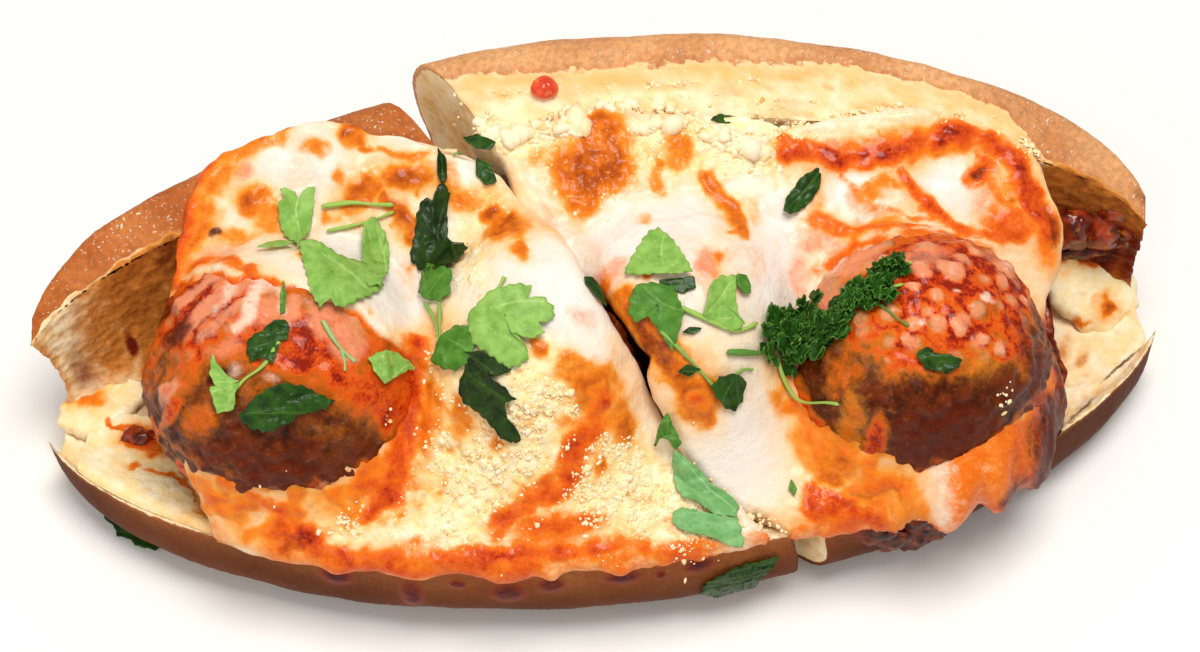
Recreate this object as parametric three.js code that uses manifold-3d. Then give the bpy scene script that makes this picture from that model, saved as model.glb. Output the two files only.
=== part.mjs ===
// A hot meatball sub: a torpedo roll slit along its front and opened like a clam, filled with
// tomato sauce, four meatballs and melted cheese, then cut in two by one slanted knife cut.
// Units are millimetres. X runs along the roll, Y from the open front to the hinge, Z is up.

import * as THREE from 'three';
import { mergeVertices } from 'three/addons/utils/BufferGeometryUtils.js';
import Module from 'manifold-3d';

const wasm = await Module();
wasm.setup();

// Driving dimensions
const GAP = 0.35; // clearance left between neighbouring solids

const ROLL = {
  halfLength: 107, // where the taper would close
  backEnd: 8, // the hinge side's depth at the ends
  rimHeight: 25, // front rim of the base at the middle
  rimDrop: 11, // how much lower that rim is at the ends
  lidHeight: 58, // crown of the lid at the middle
  lidDrop: 22, // how much lower the lid's crown is at the ends
  lipEnd: 4, // how far back the lid's lip is at the ends
  lipDepth: 25, // how much further back it is at the middle
  valley: 11, // height of the crumb floor under the filling
};

// What differs from one half to the other
const HALVES = {
  left: {
    side: -1,
    tip: 105.5, // where the torn end is
    endTear: { slit: 4, lid: 1 }, // how far the slit and the lid are torn in there
    frontDepth: 46.5, // from the centre line to the front bulge of the base at the middle
    backDepth: 37, // how much further back the lid reaches at the middle than at the end
    breadCut: { x: -3.5, slope: -0.8 }, // the knife's plane crosses y = 0 at x, and leans
    fillingCut: { x: -3.5, slope: -0.8 },
    turn: 0, // how far the half has swung open about the front corner of the cut, in degrees
    slip: [0, 0],
    cheese: { end: 76, lean: 12, overhang: 1.2 },
    meatballs: [
      { name: 'meatball_left_end', at: [-58.5, -5, 35], radii: [26, 23.5, 23.5], cover: -2.2 },
      { name: 'meatball_left_middle', at: [-13, -4, 33.5], radii: [21.5, 22, 22.5], cover: 2.6 },
    ],
  },
  right: {
    side: 1,
    tip: 105,
    endTear: { slit: 2.5, lid: 3.5 },
    frontDepth: 48.5,
    backDepth: 40.5,
    breadCut: { x: 2, slope: -0.76 },
    fillingCut: { x: -6.6, slope: -0.83 }, // the soft melt has crept back towards the other half
    turn: -1,
    slip: [1.5, 2],
    cheese: { end: 84, lean: 6, overhang: 3 },
    meatballs: [
      { name: 'meatball_right_middle', at: [12, -5, 33], radii: [21, 21, 21.5], cover: 2.6 },
      { name: 'meatball_right_end', at: [55, -16, 35], radii: [23.5, 22.5, 23.5], cover: -1.2 },
    ],
  },
};
const PIVOT = [35, -43]; // front corner of the cut

const CHEESE = {
  thickness: 5,
  frontHeight: 27, // where the melt runs over the front rim
  rise: 0.37, // slope of the melt from the front rim up to the lid
  web: 6, // how softly it bridges from a meatball to the melt round it
  skirt: 0.8, // share of a meatball's radius past which the melt leaves it in a straight slope
};

const SAUCE = { level: 17.5, dip: 3, front: -21, back: 15, reach: 92 };

// The roll narrows towards its ends by this factor
const taper = (x) => Math.pow(Math.max(0, 1 - (x / ROLL.halfLength) ** 2), 0.6);

const frontOf = (x, half) => -half.frontDepth * taper(x);
const rimHeightOf = (x) => ROLL.rimHeight - ROLL.rimDrop * (1 - taper(x));
const crownOf = (x) => ROLL.lidHeight - ROLL.lidDrop * (1 - taper(x) ** 0.85);
const lipOf = (x) => ROLL.lipEnd + ROLL.lipDepth * taper(x) ** 1.15;

// The crust from the front rim, under the base and round the hinge to the lip of the lid
function crustPoints(x, half) {
  const f = taper(x);
  const front = frontOf(x, half);
  const back = ROLL.backEnd + half.backDepth * f;
  const crown = crownOf(x);
  return [
    [front + 2, rimHeightOf(x)],
    [front, 8 + 3 * f],
    [front + 1 + 4.5 * f, 2.4],
    [front * 0.72 + 1, 0],
    [3 + 7 * f, 0],
    [back * 0.62 + 3, 4 + 2 * f],
    [back - 3.5, crown * 0.45],
    [back, crown - 8 - 2 * f],
    [back - 2 - 3.5 * f, crown],
    [lipOf(x), crown - 3 - 2 * f],
  ];
}

// The sliced crumb face from the front rim, over the valley and up to the lip of the lid
function crumbPoints(x, half) {
  const f = taper(x);
  const front = frontOf(x, half);
  const crown = crownOf(x);
  const lip = lipOf(x);
  return [
    [front + 2, rimHeightOf(x)],
    [front * 0.72, 10 + 8 * f],
    [front * 0.3, ROLL.valley],
    [lip * 0.22, ROLL.valley + 1],
    [lip * 0.72, 12 + 14 * f],
    [lip - 1.5 * f, crown - 8 - 7 * f],
    [lip, crown - 3 - 2 * f],
  ];
}

// Samples a profile evenly along its length, and flattens what dips below the board
function profile(points, x, steps) {
  const curve = new THREE.CatmullRomCurve3(points.map(([y, z]) => new THREE.Vector3(x, y, z)));
  return curve.getSpacedPoints(steps).map((p) => p.setZ(Math.max(p.z, 0)));
}

// A closed body between two grids of points that meet along their first and last columns
function closedSheets(outer, inner) {
  const rows = outer.length;
  const cols = outer[0].length;
  const at = (side, row, col) => side * rows * cols + row * cols + col;
  const faces = [];
  const quad = (a, b, c, d) => faces.push(a, b, c, a, c, d);
  for (let r = 0; r + 1 < rows; r += 1) {
    for (let c = 0; c + 1 < cols; c += 1) {
      quad(at(0, r, c), at(0, r, c + 1), at(0, r + 1, c + 1), at(0, r + 1, c));
      quad(at(1, r, c), at(1, r + 1, c), at(1, r + 1, c + 1), at(1, r, c + 1));
    }
    quad(at(0, r, 0), at(0, r + 1, 0), at(1, r + 1, 0), at(1, r, 0));
    quad(at(0, r, cols - 1), at(1, r, cols - 1), at(1, r + 1, cols - 1), at(0, r + 1, cols - 1));
  }
  for (let c = 0; c + 1 < cols; c += 1) {
    quad(at(0, 0, c), at(1, 0, c), at(1, 0, c + 1), at(0, 0, c + 1));
    quad(at(0, rows - 1, c), at(0, rows - 1, c + 1), at(1, rows - 1, c + 1), at(1, rows - 1, c));
  }
  const geometry = new THREE.BufferGeometry();
  const positions = [...outer.flat(), ...inner.flat()].flatMap((p) => p.toArray());
  geometry.setAttribute('position', new THREE.Float32BufferAttribute(positions, 3));
  geometry.setIndex(faces);
  return geometry;
}

// Moves every vertex outwards along its normal, to cut a neighbour with clearance
function grown(geometry, distance) {
  const merged = mergeVertices(geometry, 1e-4);
  merged.computeVertexNormals();
  const { position, normal } = merged.attributes;
  const p = new THREE.Vector3();
  const n = new THREE.Vector3();
  for (let i = 0; i < position.count; i += 1) {
    n.fromBufferAttribute(normal, i);
    p.fromBufferAttribute(position, i).addScaledVector(n, distance);
    position.setXYZ(i, p.x, p.y, p.z);
  }
  merged.deleteAttribute('normal');
  return merged;
}

// Geometry to a solid for joins and cuts, and back
function solid(geometry) {
  const merged = mergeVertices(geometry, 1e-4);
  return new wasm.Manifold(new wasm.Mesh({
    numProp: 3,
    vertProperties: new Float32Array(merged.attributes.position.array),
    triVerts: new Uint32Array(merged.index.array),
  }));
}

function geometryOf(body) {
  const mesh = body.getMesh();
  const geometry = new THREE.BufferGeometry();
  geometry.setAttribute('position', new THREE.BufferAttribute(mesh.vertProperties, 3));
  geometry.setIndex(new THREE.BufferAttribute(mesh.triVerts, 1));
  return geometry;
}

// The bread of one half, still running on past the cut
function breadGeometry(half) {
  const stations = 26;
  const steps = 18;
  const outer = [];
  const inner = [];
  for (let i = 0; i <= stations; i += 1) {
    // stations crowd towards the torn end, where the outline turns fastest
    const along = Math.sin((i / stations) * Math.PI / 2);
    const x = half.side * THREE.MathUtils.lerp(-60, half.tip, along);
    const near = along ** 12 * half.side;
    const tear = (p, n) => {
      const s = n / steps;
      const { slit, lid } = half.endTear;
      p.x -= near * (slit * Math.sin(Math.PI * s) + lid * s * s);
    };
    const crust = profile(crustPoints(x, half), x, steps);
    const crumb = profile(crumbPoints(x, half), x, steps);
    crust.forEach(tear);
    crumb.forEach(tear);
    outer.push(crust);
    inner.push(crumb);
  }
  return half.side > 0
    ? closedSheets(outer, inner)
    : closedSheets(outer.reverse(), inner.reverse());
}

// A meatball is a lumpy hand-rolled ball, a little flattened
function meatballGeometry({ at, radii }, turn) {
  const ball = new THREE.IcosahedronGeometry(1, 3);
  ball.deleteAttribute('normal');
  ball.deleteAttribute('uv');
  const merged = mergeVertices(ball, 1e-4);
  const { position } = merged.attributes;
  const p = new THREE.Vector3();
  for (let i = 0; i < position.count; i += 1) {
    p.fromBufferAttribute(position, i).normalize();
    const lump = 0.03 * Math.sin(3.1 * p.x + turn) * Math.cos(3.7 * p.y - turn)
      + 0.02 * Math.sin(6.3 * p.y + 2 * turn) * Math.sin(5.9 * p.z + 1.7 * turn);
    p.multiplyScalar(1 + lump);
    position.setXYZ(i, at[0] + radii[0] * p.x, at[1] + radii[1] * p.y, at[2] + radii[2] * p.z);
  }
  return merged;
}

// The larger of two heights, rounded over where they cross
function softMax(a, b, reach) {
  const near = Math.max(reach - Math.abs(a - b), 0) / reach;
  return Math.max(a, b) + near * near * reach / 4;
}

// A round hump over a meatball that runs out in a straight skirt
function humpHeight({ at, radii, cover }, x, y) {
  const away = Math.hypot((x - at[0]) / (radii[0] + cover), (y - at[1]) / (radii[1] + cover));
  const edge = Math.sqrt(1 - CHEESE.skirt ** 2);
  const rise = away < CHEESE.skirt
    ? Math.sqrt(1 - away * away)
    : edge - (away - CHEESE.skirt) * CHEESE.skirt / edge;
  return at[2] + (radii[2] + cover) * rise;
}

// The melt's top is a ramp from the front rim to the lid, draped over the meatballs
function meltHeight(x, y, half) {
  const front = CHEESE.frontHeight - ROLL.rimDrop * (1 - taper(x));
  const ramp = front + CHEESE.rise * (y - frontOf(x, half));
  return half.meatballs.reduce((z, ball) => softMax(z, humpHeight(ball, x, y), CHEESE.web), ramp);
}

function cheeseGeometry(half) {
  const across = 15;
  const along = 26;
  const { end, lean, overhang } = half.cheese;
  const top = [];
  const under = [];
  for (let i = 0; i <= along; i += 1) {
    const upper = [];
    const lower = [];
    for (let j = 0; j <= across; j += 1) {
      const v = j / across;
      const x = half.side * THREE.MathUtils.lerp(-45, end - lean * (1 - v), i / along);
      const y = THREE.MathUtils.lerp(frontOf(x, half) + 1 - overhang, lipOf(x) - 0.5, v);
      const z = meltHeight(x, y, half);
      const thickness = CHEESE.thickness * (1 + 0.6 * Math.sin(Math.PI * v));
      upper.push(new THREE.Vector3(x, y, z));
      lower.push(new THREE.Vector3(x, y, z - thickness));
    }
    top.push(upper);
    under.push(lower);
  }
  return half.side > 0
    ? closedSheets(under, top)
    : closedSheets(under.reverse(), top.reverse());
}

// A layer of sauce lies in the valley of the roll
function sauceGeometry(half) {
  const across = 6;
  const along = 16;
  const top = [];
  const under = [];
  for (let i = 0; i <= along; i += 1) {
    const upper = [];
    const lower = [];
    for (let j = 0; j <= across; j += 1) {
      const v = j / across;
      const x = half.side * THREE.MathUtils.lerp(-30, SAUCE.reach, i / along);
      const y = THREE.MathUtils.lerp(SAUCE.front, SAUCE.back, v) * taper(x) ** 0.7;
      const ripple = 0.5 * Math.sin(0.21 * x) * Math.sin(0.4 * y + 1);
      const z = SAUCE.level - SAUCE.dip * Math.sin(Math.PI * v) - 2.5 * (1 - taper(x)) + ripple;
      upper.push(new THREE.Vector3(x, y, z));
      lower.push(new THREE.Vector3(x, y, ROLL.valley - 3));
    }
    top.push(upper);
    under.push(lower);
  }
  return half.side > 0
    ? closedSheets(under, top)
    : closedSheets(under.reverse(), top.reverse());
}

// All of space on one side of the knife's plane
function knifeSide(side, cut) {
  const box = new THREE.BoxGeometry(400, 400, 200);
  box.deleteAttribute('normal');
  box.deleteAttribute('uv');
  box.translate(side * (200 + GAP / 2), 0, 50);
  box.rotateZ(-Math.atan(cut.slope));
  box.translate(cut.x, 0, 0);
  return solid(box);
}

function material(color, roughness) {
  return new THREE.MeshStandardMaterial({ color, roughness, metalness: 0 });
}

const MATERIALS = {
  bread: material(0xc98a4b, 0.8),
  meatball: material(0x8a3f1f, 0.45),
  cheese: material(0xf2dfb4, 0.35),
  sauce: material(0xb5381a, 0.3),
};

const cutAway = (body, tools) => tools.reduce((rest, tool) => rest.subtract(tool), body);
const largest = (body) => body.decompose().sort((a, b) => b.volume() - a.volume())[0];

// One half: its bread, meatballs, sauce and cheese, each cut clear of the ones before it
function halfGroup(word, half) {
  const bread = breadGeometry(half);
  const balls = half.meatballs.map((ball, n) => meatballGeometry(ball, 1.3 + 2.1 * n + half.side));
  const breadTool = solid(grown(bread, GAP));
  const ballTools = balls.map((ball) => solid(grown(ball, GAP)));
  const sauce = cutAway(solid(sauceGeometry(half)), [breadTool, ...ballTools]);
  const sauceTool = solid(grown(geometryOf(sauce), GAP));
  const cheese = cutAway(solid(cheeseGeometry(half)), [breadTool, ...ballTools, sauceTool]);
  const breadSide = knifeSide(half.side, half.breadCut);
  const fillingSide = knifeSide(half.side, half.fillingCut);

  const group = new THREE.Group();
  const add = (name, body, kind) => {
    const side = kind === 'bread' ? breadSide : fillingSide;
    const mesh = new THREE.Mesh(geometryOf(largest(body.intersect(side))), MATERIALS[kind]);
    mesh.name = name;
    group.add(mesh);
  };
  add(`bread_${word}`, solid(bread), 'bread');
  add(`sauce_${word}`, sauce, 'sauce');
  balls.forEach((ball, n) => {
    const tools = [breadTool, ...ballTools.slice(0, n)]; // pressed into the crumb and each other
    add(half.meatballs[n].name, cutAway(solid(ball), tools), 'meatball');
  });
  add(`cheese_${word}`, cheese, 'cheese');

  // swung open about the front corner of the cut
  const swing = new THREE.Group();
  swing.position.set(PIVOT[0] + half.slip[0], PIVOT[1] + half.slip[1], 0);
  swing.rotation.z = THREE.MathUtils.degToRad(half.turn);
  group.position.set(-PIVOT[0], -PIVOT[1], 0);
  swing.add(group);
  return swing;
}

const sandwich = new THREE.Group();
for (const [word, half] of Object.entries(HALVES)) {
  sandwich.add(halfGroup(word, half));
}

// The origin is the middle of the sandwich's footprint, on the board
sandwich.updateMatrixWorld(true);
const bounds = new THREE.Box3().setFromObject(sandwich, true);
const middle = bounds.getCenter(new THREE.Vector3());
sandwich.position.set(-middle.x, -middle.y, -bounds.min.z);

export default sandwich;
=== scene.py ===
import math

import bmesh
import bpy
import numpy as np
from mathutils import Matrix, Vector


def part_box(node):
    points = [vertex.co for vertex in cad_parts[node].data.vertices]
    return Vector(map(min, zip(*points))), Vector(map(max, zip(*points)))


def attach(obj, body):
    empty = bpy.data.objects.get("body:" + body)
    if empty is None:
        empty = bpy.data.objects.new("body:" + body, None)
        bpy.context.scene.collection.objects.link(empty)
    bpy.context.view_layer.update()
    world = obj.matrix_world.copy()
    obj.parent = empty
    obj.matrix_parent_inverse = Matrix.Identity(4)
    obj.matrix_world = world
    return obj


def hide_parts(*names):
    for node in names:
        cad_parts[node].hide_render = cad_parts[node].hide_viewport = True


# A hot meatball sandwich, baked open and cut in two by one slanted knife cut.
# Shapes are worked out in millimetres and become metres when a mesh is made.

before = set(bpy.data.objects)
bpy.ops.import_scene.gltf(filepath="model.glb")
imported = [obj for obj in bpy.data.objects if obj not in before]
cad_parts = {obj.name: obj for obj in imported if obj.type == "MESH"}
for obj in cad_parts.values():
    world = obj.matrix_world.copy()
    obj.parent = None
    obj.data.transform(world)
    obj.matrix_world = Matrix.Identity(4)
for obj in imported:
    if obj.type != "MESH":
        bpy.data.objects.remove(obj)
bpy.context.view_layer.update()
bpy.context.scene.view_settings.view_transform = "Standard"
print("frame loaded")


# Numbers used everywhere: blends, noise, marks in plan and smooth curves

def blend(low, high, value):  # 0 at low, 1 at high, eased between them
    t = np.clip((value - low) / (high - low), 0, 1)
    return t * t * (3 - 2 * t)


def mix(a, b, t):  # t of the way from a to b
    return a + (b - a) * t


def softMax(a, b, reach):  # the larger of two heights, with a fillet of this reach where they meet
    near = np.maximum(reach - np.abs(a - b), 0) / reach
    return np.maximum(a, b) + near * near * reach / 4


def stacked(*parts):  # numbers or arrays side by side, as the last axis of one array
    return np.stack(np.broadcast_arrays(*parts), axis=-1)


def turned(x, y, degrees):  # a place in plan turned about the origin
    c, s = np.cos(np.radians(degrees)), np.sin(np.radians(degrees))
    return x * c - y * s, x * s + y * c


def between(net, i, j):  # what a net of points holds at row i and column j, which needn't be whole
    i, j = (np.clip(v, 0, n - 1.001) for v, n in zip((i, j), net.shape))
    i0, j0 = i.astype(int), j.astype(int)
    fi, fj = (v.reshape(v.shape + (1,) * (net.ndim - 2)) for v in (i - i0, j - j0))
    return mix(mix(net[i0, j0], net[i0 + 1, j0], fi), mix(net[i0, j0 + 1], net[i0 + 1, j0 + 1], fi), fj)


def runAlong(net, axis):  # how far each point of a net lies along its own line
    step = np.linalg.norm(np.diff(net, axis=axis), axis=-1)
    return np.insert(np.cumsum(step, axis=axis), 0, 0, axis=axis)


shuffle = np.random.default_rng(5).permutation(256)
slopes = np.random.default_rng(6).normal(size=(256, 3))
slopes /= np.linalg.norm(slopes, axis=1, keepdims=True)
scatter = np.random.default_rng(7).random((256, 3))


def latticePick(cell):  # a lattice cell's own number from 0 to 255, the same each time
    pick = shuffle[cell[..., 0] & 255]
    pick = shuffle[(pick + cell[..., 1]) & 255]
    return shuffle[(pick + cell[..., 2]) & 255]


def noise(points, size, seed=0):
    # gradient noise between about -1 and 1: at each corner of a lattice a random slope is
    # followed to the point, and the eight answers are blended with an eased weight
    spot = points / np.asarray(size, float) + 7.31 * seed
    cell = np.floor(spot).astype(int)
    part = spot - cell
    eased = part ** 3 * (part * (part * 6 - 15) + 10)
    total = 0
    for corner in range(8):
        step = np.array([corner & 1, corner >> 1 & 1, corner >> 2 & 1])
        weight = np.prod(np.where(step, eased, 1 - eased), axis=-1)
        total = total + weight * np.sum(slopes[latticePick(cell + step)] * (part - step), axis=-1)
    return total * 1.6


def waves(points, *layers):  # several noises added up, each (height, size, seed)
    return sum(height * noise(points, size, seed) for height, size, seed in layers)


def cellNoise(points, size, seed=0):
    # distances to the nearest and second nearest of points strewn one to a lattice cell
    spot = points / np.asarray(size, float) + 5.17 * seed
    cell = np.floor(spot).astype(int)
    nearest = np.full(spot.shape[:-1], 9.0)
    second = nearest.copy()
    for corner in range(27):
        step = np.array([corner % 3 - 1, corner // 3 % 3 - 1, corner // 9 - 1])
        home = cell + step
        away = np.linalg.norm(home + scatter[latticePick(home)] - spot, axis=-1)
        second = np.minimum(second, np.maximum(nearest, away))
        nearest = np.minimum(nearest, away)
    return nearest, second


def curveThrough(points, count):
    # centripetal Catmull-Rom curves through rows of points, each then sampled evenly by length
    points = np.asarray(points, float)
    head = 2 * points[..., :1, :] - points[..., 1:2, :]
    tail = 2 * points[..., -1:, :] - points[..., -2:-1, :]
    p = np.concatenate([head, points, tail], axis=-2)
    gap = np.sqrt(np.linalg.norm(np.diff(p, axis=-2), axis=-1, keepdims=True))
    p0, p1, p2, p3 = (p[..., i:p.shape[-2] - 3 + i, :] for i in range(4))
    a, b, c = (gap[..., i:gap.shape[-2] - 2 + i, :] for i in range(3))
    leave = ((p1 - p0) / a - (p2 - p0) / (a + b) + (p2 - p1) / b) * b
    arrive = ((p2 - p1) / b - (p3 - p1) / (b + c) + (p3 - p2) / c) * b
    t = np.linspace(0, 1, 16, endpoint=False)[:, None]
    p1, p2, leave, arrive = (v[..., None, :] for v in (p1, p2, leave, arrive))
    fine = ((2 * t ** 3 - 3 * t ** 2 + 1) * p1 + (t ** 3 - 2 * t ** 2 + t) * leave
            + (3 * t ** 2 - 2 * t ** 3) * p2 + (t ** 3 - t ** 2) * arrive)
    fine = fine.reshape(points.shape[:-2] + (-1, points.shape[-1]))
    fine = np.concatenate([fine, points[..., -1:, :]], axis=-2)
    even = []
    for row in fine.reshape((-1,) + fine.shape[-2:]):
        along = runAlong(row, 0)
        at = np.linspace(0, along[-1], count)
        even.append(stacked(*(np.interp(at, along, column) for column in row.T)))
    return np.reshape(even, points.shape[:-2] + (count, points.shape[-1]))


def nearLine(x, y, line):  # distance in plan to a run of points
    best = np.full(np.shape(x), 1e3)
    for (ax, ay), (bx, by) in zip(line[:-1], line[1:]):
        dx, dy = bx - ax, by - ay
        t = np.clip(((x - ax) * dx + (y - ay) * dy) / (dx * dx + dy * dy), 0, 1)
        best = np.minimum(best, np.hypot(x - ax - t * dx, y - ay - t * dy))
    return best


def spots(x, y, places, grow=1.0):
    # how strongly a point lies in any of the spots (x, y, half length, half width, turn, strength)
    best = np.zeros(np.shape(x))
    for cx, cy, length, width, turn, strength in places:
        along, across = turned(x - cx, y - cy, -turn)
        best = np.maximum(best, strength * blend(1.75, 0.3, np.hypot(along / length, across / width) / grow))
    return best


def streaks(x, y, runs, grow=1.0):  # the same for runs (half width, strength, points)
    best = np.zeros(np.shape(x))
    for width, strength, line in runs:
        best = np.maximum(best, strength * blend(2.1, 0.25, nearLine(x, y, line) / width / grow))
    return best


def marks(x, y, paint, spotGrow=1.0, streakGrow=1.0):  # the stronger of a paint's spots and streaks
    return np.maximum(spots(x, y, paint["spots"], spotGrow),
                      streaks(x, y, paint.get("streaks", ()), streakGrow))


def nudged(spot, x, y, seed, far, near):
    # places in plan moved about by two noises, so that no edge is a plain oval: each (reach, size)
    return [v + waves(spot, far + (s,), near + (s + 1,)) for v, s in ((x, seed), (y, seed + 2))]


# Making meshes out of grids of points

def islandPlaces(sizes):
    # shelves of rectangles laid side by side in a square, tallest first
    gap = 0.6
    width = max(max(w for w, h in sizes) + 2 * gap,
                1.08 * math.sqrt(sum((w + gap) * (h + gap) for w, h in sizes)))
    x, y, shelf, places = gap, gap, 0, {}
    for i in sorted(range(len(sizes)), key=lambda i: -sizes[i][1]):
        w, h = sizes[i]
        if x + w + gap > width:
            x, y, shelf = gap, y + shelf + gap, 0
        places[i] = (x, y)
        x, shelf = x + w + gap, max(shelf, h)
    return [places[i] for i in range(len(sizes))], 1 / max(width, y + shelf + gap)


def linked(name, data):  # a new object in the scene
    made = bpy.data.objects.new(name, data)
    bpy.context.scene.collection.objects.link(made)
    return made


def makePiece(name, points, faces, uvs, values, material, slot, stands=(), relief=None, thicken=0):
    # points in millimetres; values: one number a point for each mask the material reads; relief
    # gives how far each point moves out along its normal
    mesh = bpy.data.meshes.new(name)
    mesh.from_pydata(points * 0.001, [], faces)
    mesh.uv_layers.new(name="OFBake").data.foreach_set("uv", uvs.ravel())
    mesh.validate()
    work = bmesh.new()
    work.from_mesh(mesh)
    bmesh.ops.recalc_face_normals(work, faces=work.faces)
    work.to_mesh(mesh)
    work.free()
    if relief:
        out = np.empty(len(points) * 3)
        mesh.vertices.foreach_get("normal", out)
        points = points + out.reshape(-1, 3) * relief(points, values)[:, None]
        mesh.vertices.foreach_set("co", (points * 0.001).ravel())
    for key, value in values.items():
        mesh.attributes.new(key, "FLOAT", "POINT").data.foreach_set("value", value.astype(np.float32))
    mesh.shade_smooth()
    mesh.materials.append(material)
    mesh.update()
    piece = linked(name, mesh)
    if thicken:
        solid = piece.modifiers.new("thickness", "SOLIDIFY")
        solid.thickness, solid.offset = thicken * 0.001, 0
    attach(piece, "root")
    for node in stands:
        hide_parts(node)
    return points


def cellCorners(net):  # the four corners of each cell of a net, in order round it
    return np.stack([net[:-1, :-1], net[:-1, 1:], net[1:, 1:], net[1:, :-1]], axis=2)


def gridPiece(name, grids, masks, material, slot, **more):
    # grids: (rows, columns, 3) arrays in millimetres that meet along shared edges
    # masks: one dictionary per grid of (rows, columns) values the material reads
    sizes = [(max(runAlong(g, 1)[:, -1].mean(), 0.5), max(runAlong(g, 0)[-1].mean(), 0.5)) for g in grids]
    places, scale = islandPlaces(sizes)
    quads, corners, start = [], [], 0
    for grid, size, place in zip(grids, sizes, places):
        rows, cols = grid.shape[:2]
        u = place[0] + size[0] * np.linspace(0, 1, cols)
        v = place[1] + size[1] * np.linspace(0, 1, rows)[:, None]
        quads.append(cellCorners(start + np.arange(rows * cols).reshape(rows, cols)).reshape(-1, 4))
        corners.append(scale * cellCorners(stacked(u, v)).reshape(-1, 4, 2))
        start += rows * cols
    points = np.concatenate([grid.reshape(-1, 3) for grid in grids])
    quads, corners = np.concatenate(quads), np.concatenate(corners)
    values = {key: np.concatenate([np.broadcast_to(m.get(key, 0.0), g.shape[:2]).ravel()
                                   for m, g in zip(masks, grids)]) for key in sorted(set().union(*masks))}
    rounded = np.round(points * 500).astype(np.int64)  # points closer than 2 microns are one
    _, first, home = np.unique(rounded, axis=0, return_index=True, return_inverse=True)
    points, quads = points[first], home.ravel()[quads]
    values = {key: value[first] for key, value in values.items()}

    # cells that have shrunk to a line go, and cells with two corners in one place become triangles
    folded = (quads[:, 0] == quads[:, 2]) | (quads[:, 1] == quads[:, 3])
    quads, corners = quads[~folded], corners[~folded]
    same = quads == np.roll(quads, -1, axis=1)
    whole, thin = ~same.any(axis=1), same.sum(axis=1) == 1
    keep = ~same[thin]
    faces = quads[whole].tolist() + quads[thin][keep].reshape(-1, 3).tolist()
    uvs = np.concatenate([corners[whole].reshape(-1, 2), corners[thin][keep]])
    return makePiece(name, points, faces, uvs, values, material, slot, **more)


# Node trees for the materials

def tint(code):  # an sRGB hex colour as linear values
    parts = [int(code[i:i + 2], 16) / 255 for i in (1, 3, 5)]
    return tuple(v / 12.92 if v <= 0.04045 else ((v + 0.055) / 1.055) ** 2.4 for v in parts) + (1.0,)


def add(tree, kind, settings=None, out=0, **inputs):
    # one node with its settings and links, and the socket it gives; an input is a number, a socket,
    # a hex colour or the name of a mask, and i6 stands for the seventh input
    made = tree.nodes.new("ShaderNode" + kind)
    settings = dict(settings or {})
    tones = settings.pop("tones", ())
    for key, value in settings.items():
        setattr(made, key, value)
    while len(tones) > len(made.color_ramp.elements if tones else ()):
        made.color_ramp.elements.new(0.5)
    for i, (place, code) in enumerate(tones):
        made.color_ramp.elements[i].position, made.color_ramp.elements[i].color = place, tint(code)
    for key, value in inputs.items():
        at = int(key[1:]) if key[1:].isdigit() else key.replace("_", " ")
        if isinstance(value, str) and value[0] == "#":
            value = tint(value)
        elif isinstance(value, str):
            value = add(tree, "Attribute", {"attribute_name": value}, "Fac")
        if isinstance(value, bpy.types.NodeSocket):
            tree.links.new(value, made.inputs[at])
        else:
            made.inputs[at].default_value = value
    return made.outputs[out]


smooth, single, colours = {"interpolation_type": "SMOOTHSTEP"}, {"data_type": "FLOAT"}, {"data_type": "RGBA"}
times, plus, timesPlus = ({"operation": way} for way in ("MULTIPLY", "ADD", "MULTIPLY_ADD"))


def speckle(tree, size, detail=2.0, rough=0.55, low=None, high=None, most=1.0, warp=0.0):
    # bumps of this size in millimetres; with low and high they rise from nothing to most between them
    wave = add(tree, "TexNoise", Vector=tree.nodes["Texture Coordinate"].outputs["Object"],
               Scale=1000 / size, Detail=detail, Roughness=rough, Distortion=warp)
    if low is None:
        return wave
    return add(tree, "MapRange", smooth, Value=wave, From_Min=low, From_Max=high, To_Max=most)


def layered(tree, colour, *coats):
    # colours laid one over another: (where, colour), where a mask or a pattern says
    for where, coat in coats:
        colour = add(tree, "Mix", colours, 2, Factor=where, i6=colour, i7=coat)
    return colour


def paintOver(tree, colour, gloss, coats):
    # lays coats over a colour and a roughness: each shows where its mask, roughened by noise of
    # two sizes, is strong, and runs through its tones from its thin edge to its thick middle
    for coat in coats:
        size, torn = coat["size"], coat["ragged"]
        fine = add(tree, "Math", times, i0=speckle(tree, size * 0.3), i1=0.5)
        spread = add(tree, "Math", plus, i0=speckle(tree, size, 4.0, 0.62, warp=0.4), i1=fine)
        ragged = add(tree, "Math", timesPlus, i0=spread, i1=2 * torn, i2=1 - 1.5 * torn)
        strength = add(tree, "Math", times, i0=coat["mask"], i1=ragged)
        low, high = coat.get("edge", (0.12, 0.6))
        shown = add(tree, "MapRange", smooth, Value=strength, From_Min=low, From_Max=high,
                    To_Max=coat.get("cover", 1.0))
        colour = layered(tree, colour, (shown, add(tree, "ValToRGB", {"tones": coat["tones"]}, Fac=strength)))
        gloss = add(tree, "Mix", single, Factor=shown, i2=gloss, i3=coat["rough"])
    return colour, gloss


def newMaterial(name, **constants):  # a material whose shader has these constants
    material = bpy.data.materials.new(name)
    material.use_nodes = True
    add(material.node_tree, "TexCoord")
    for key, value in constants.items():
        material.node_tree.nodes["Principled BSDF"].inputs[key.replace("_", " ")].default_value = value
    return material, material.node_tree


def finished(material, relief=(), **looks):
    # joins the looks to the shader, with fine relief: (size, height) in millimetres
    tree = material.node_tree
    for size, height in relief:
        under = {"Normal": looks["Normal"]} if "Normal" in looks else {}
        looks["Normal"] = add(tree, "Bump", Height=speckle(tree, size), Distance=height * 0.001,
                              Strength=1.0, **under)
    for key, value in looks.items():
        tree.links.new(value, tree.nodes["Principled BSDF"].inputs[key.replace("_", " ")])
    return material


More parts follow.
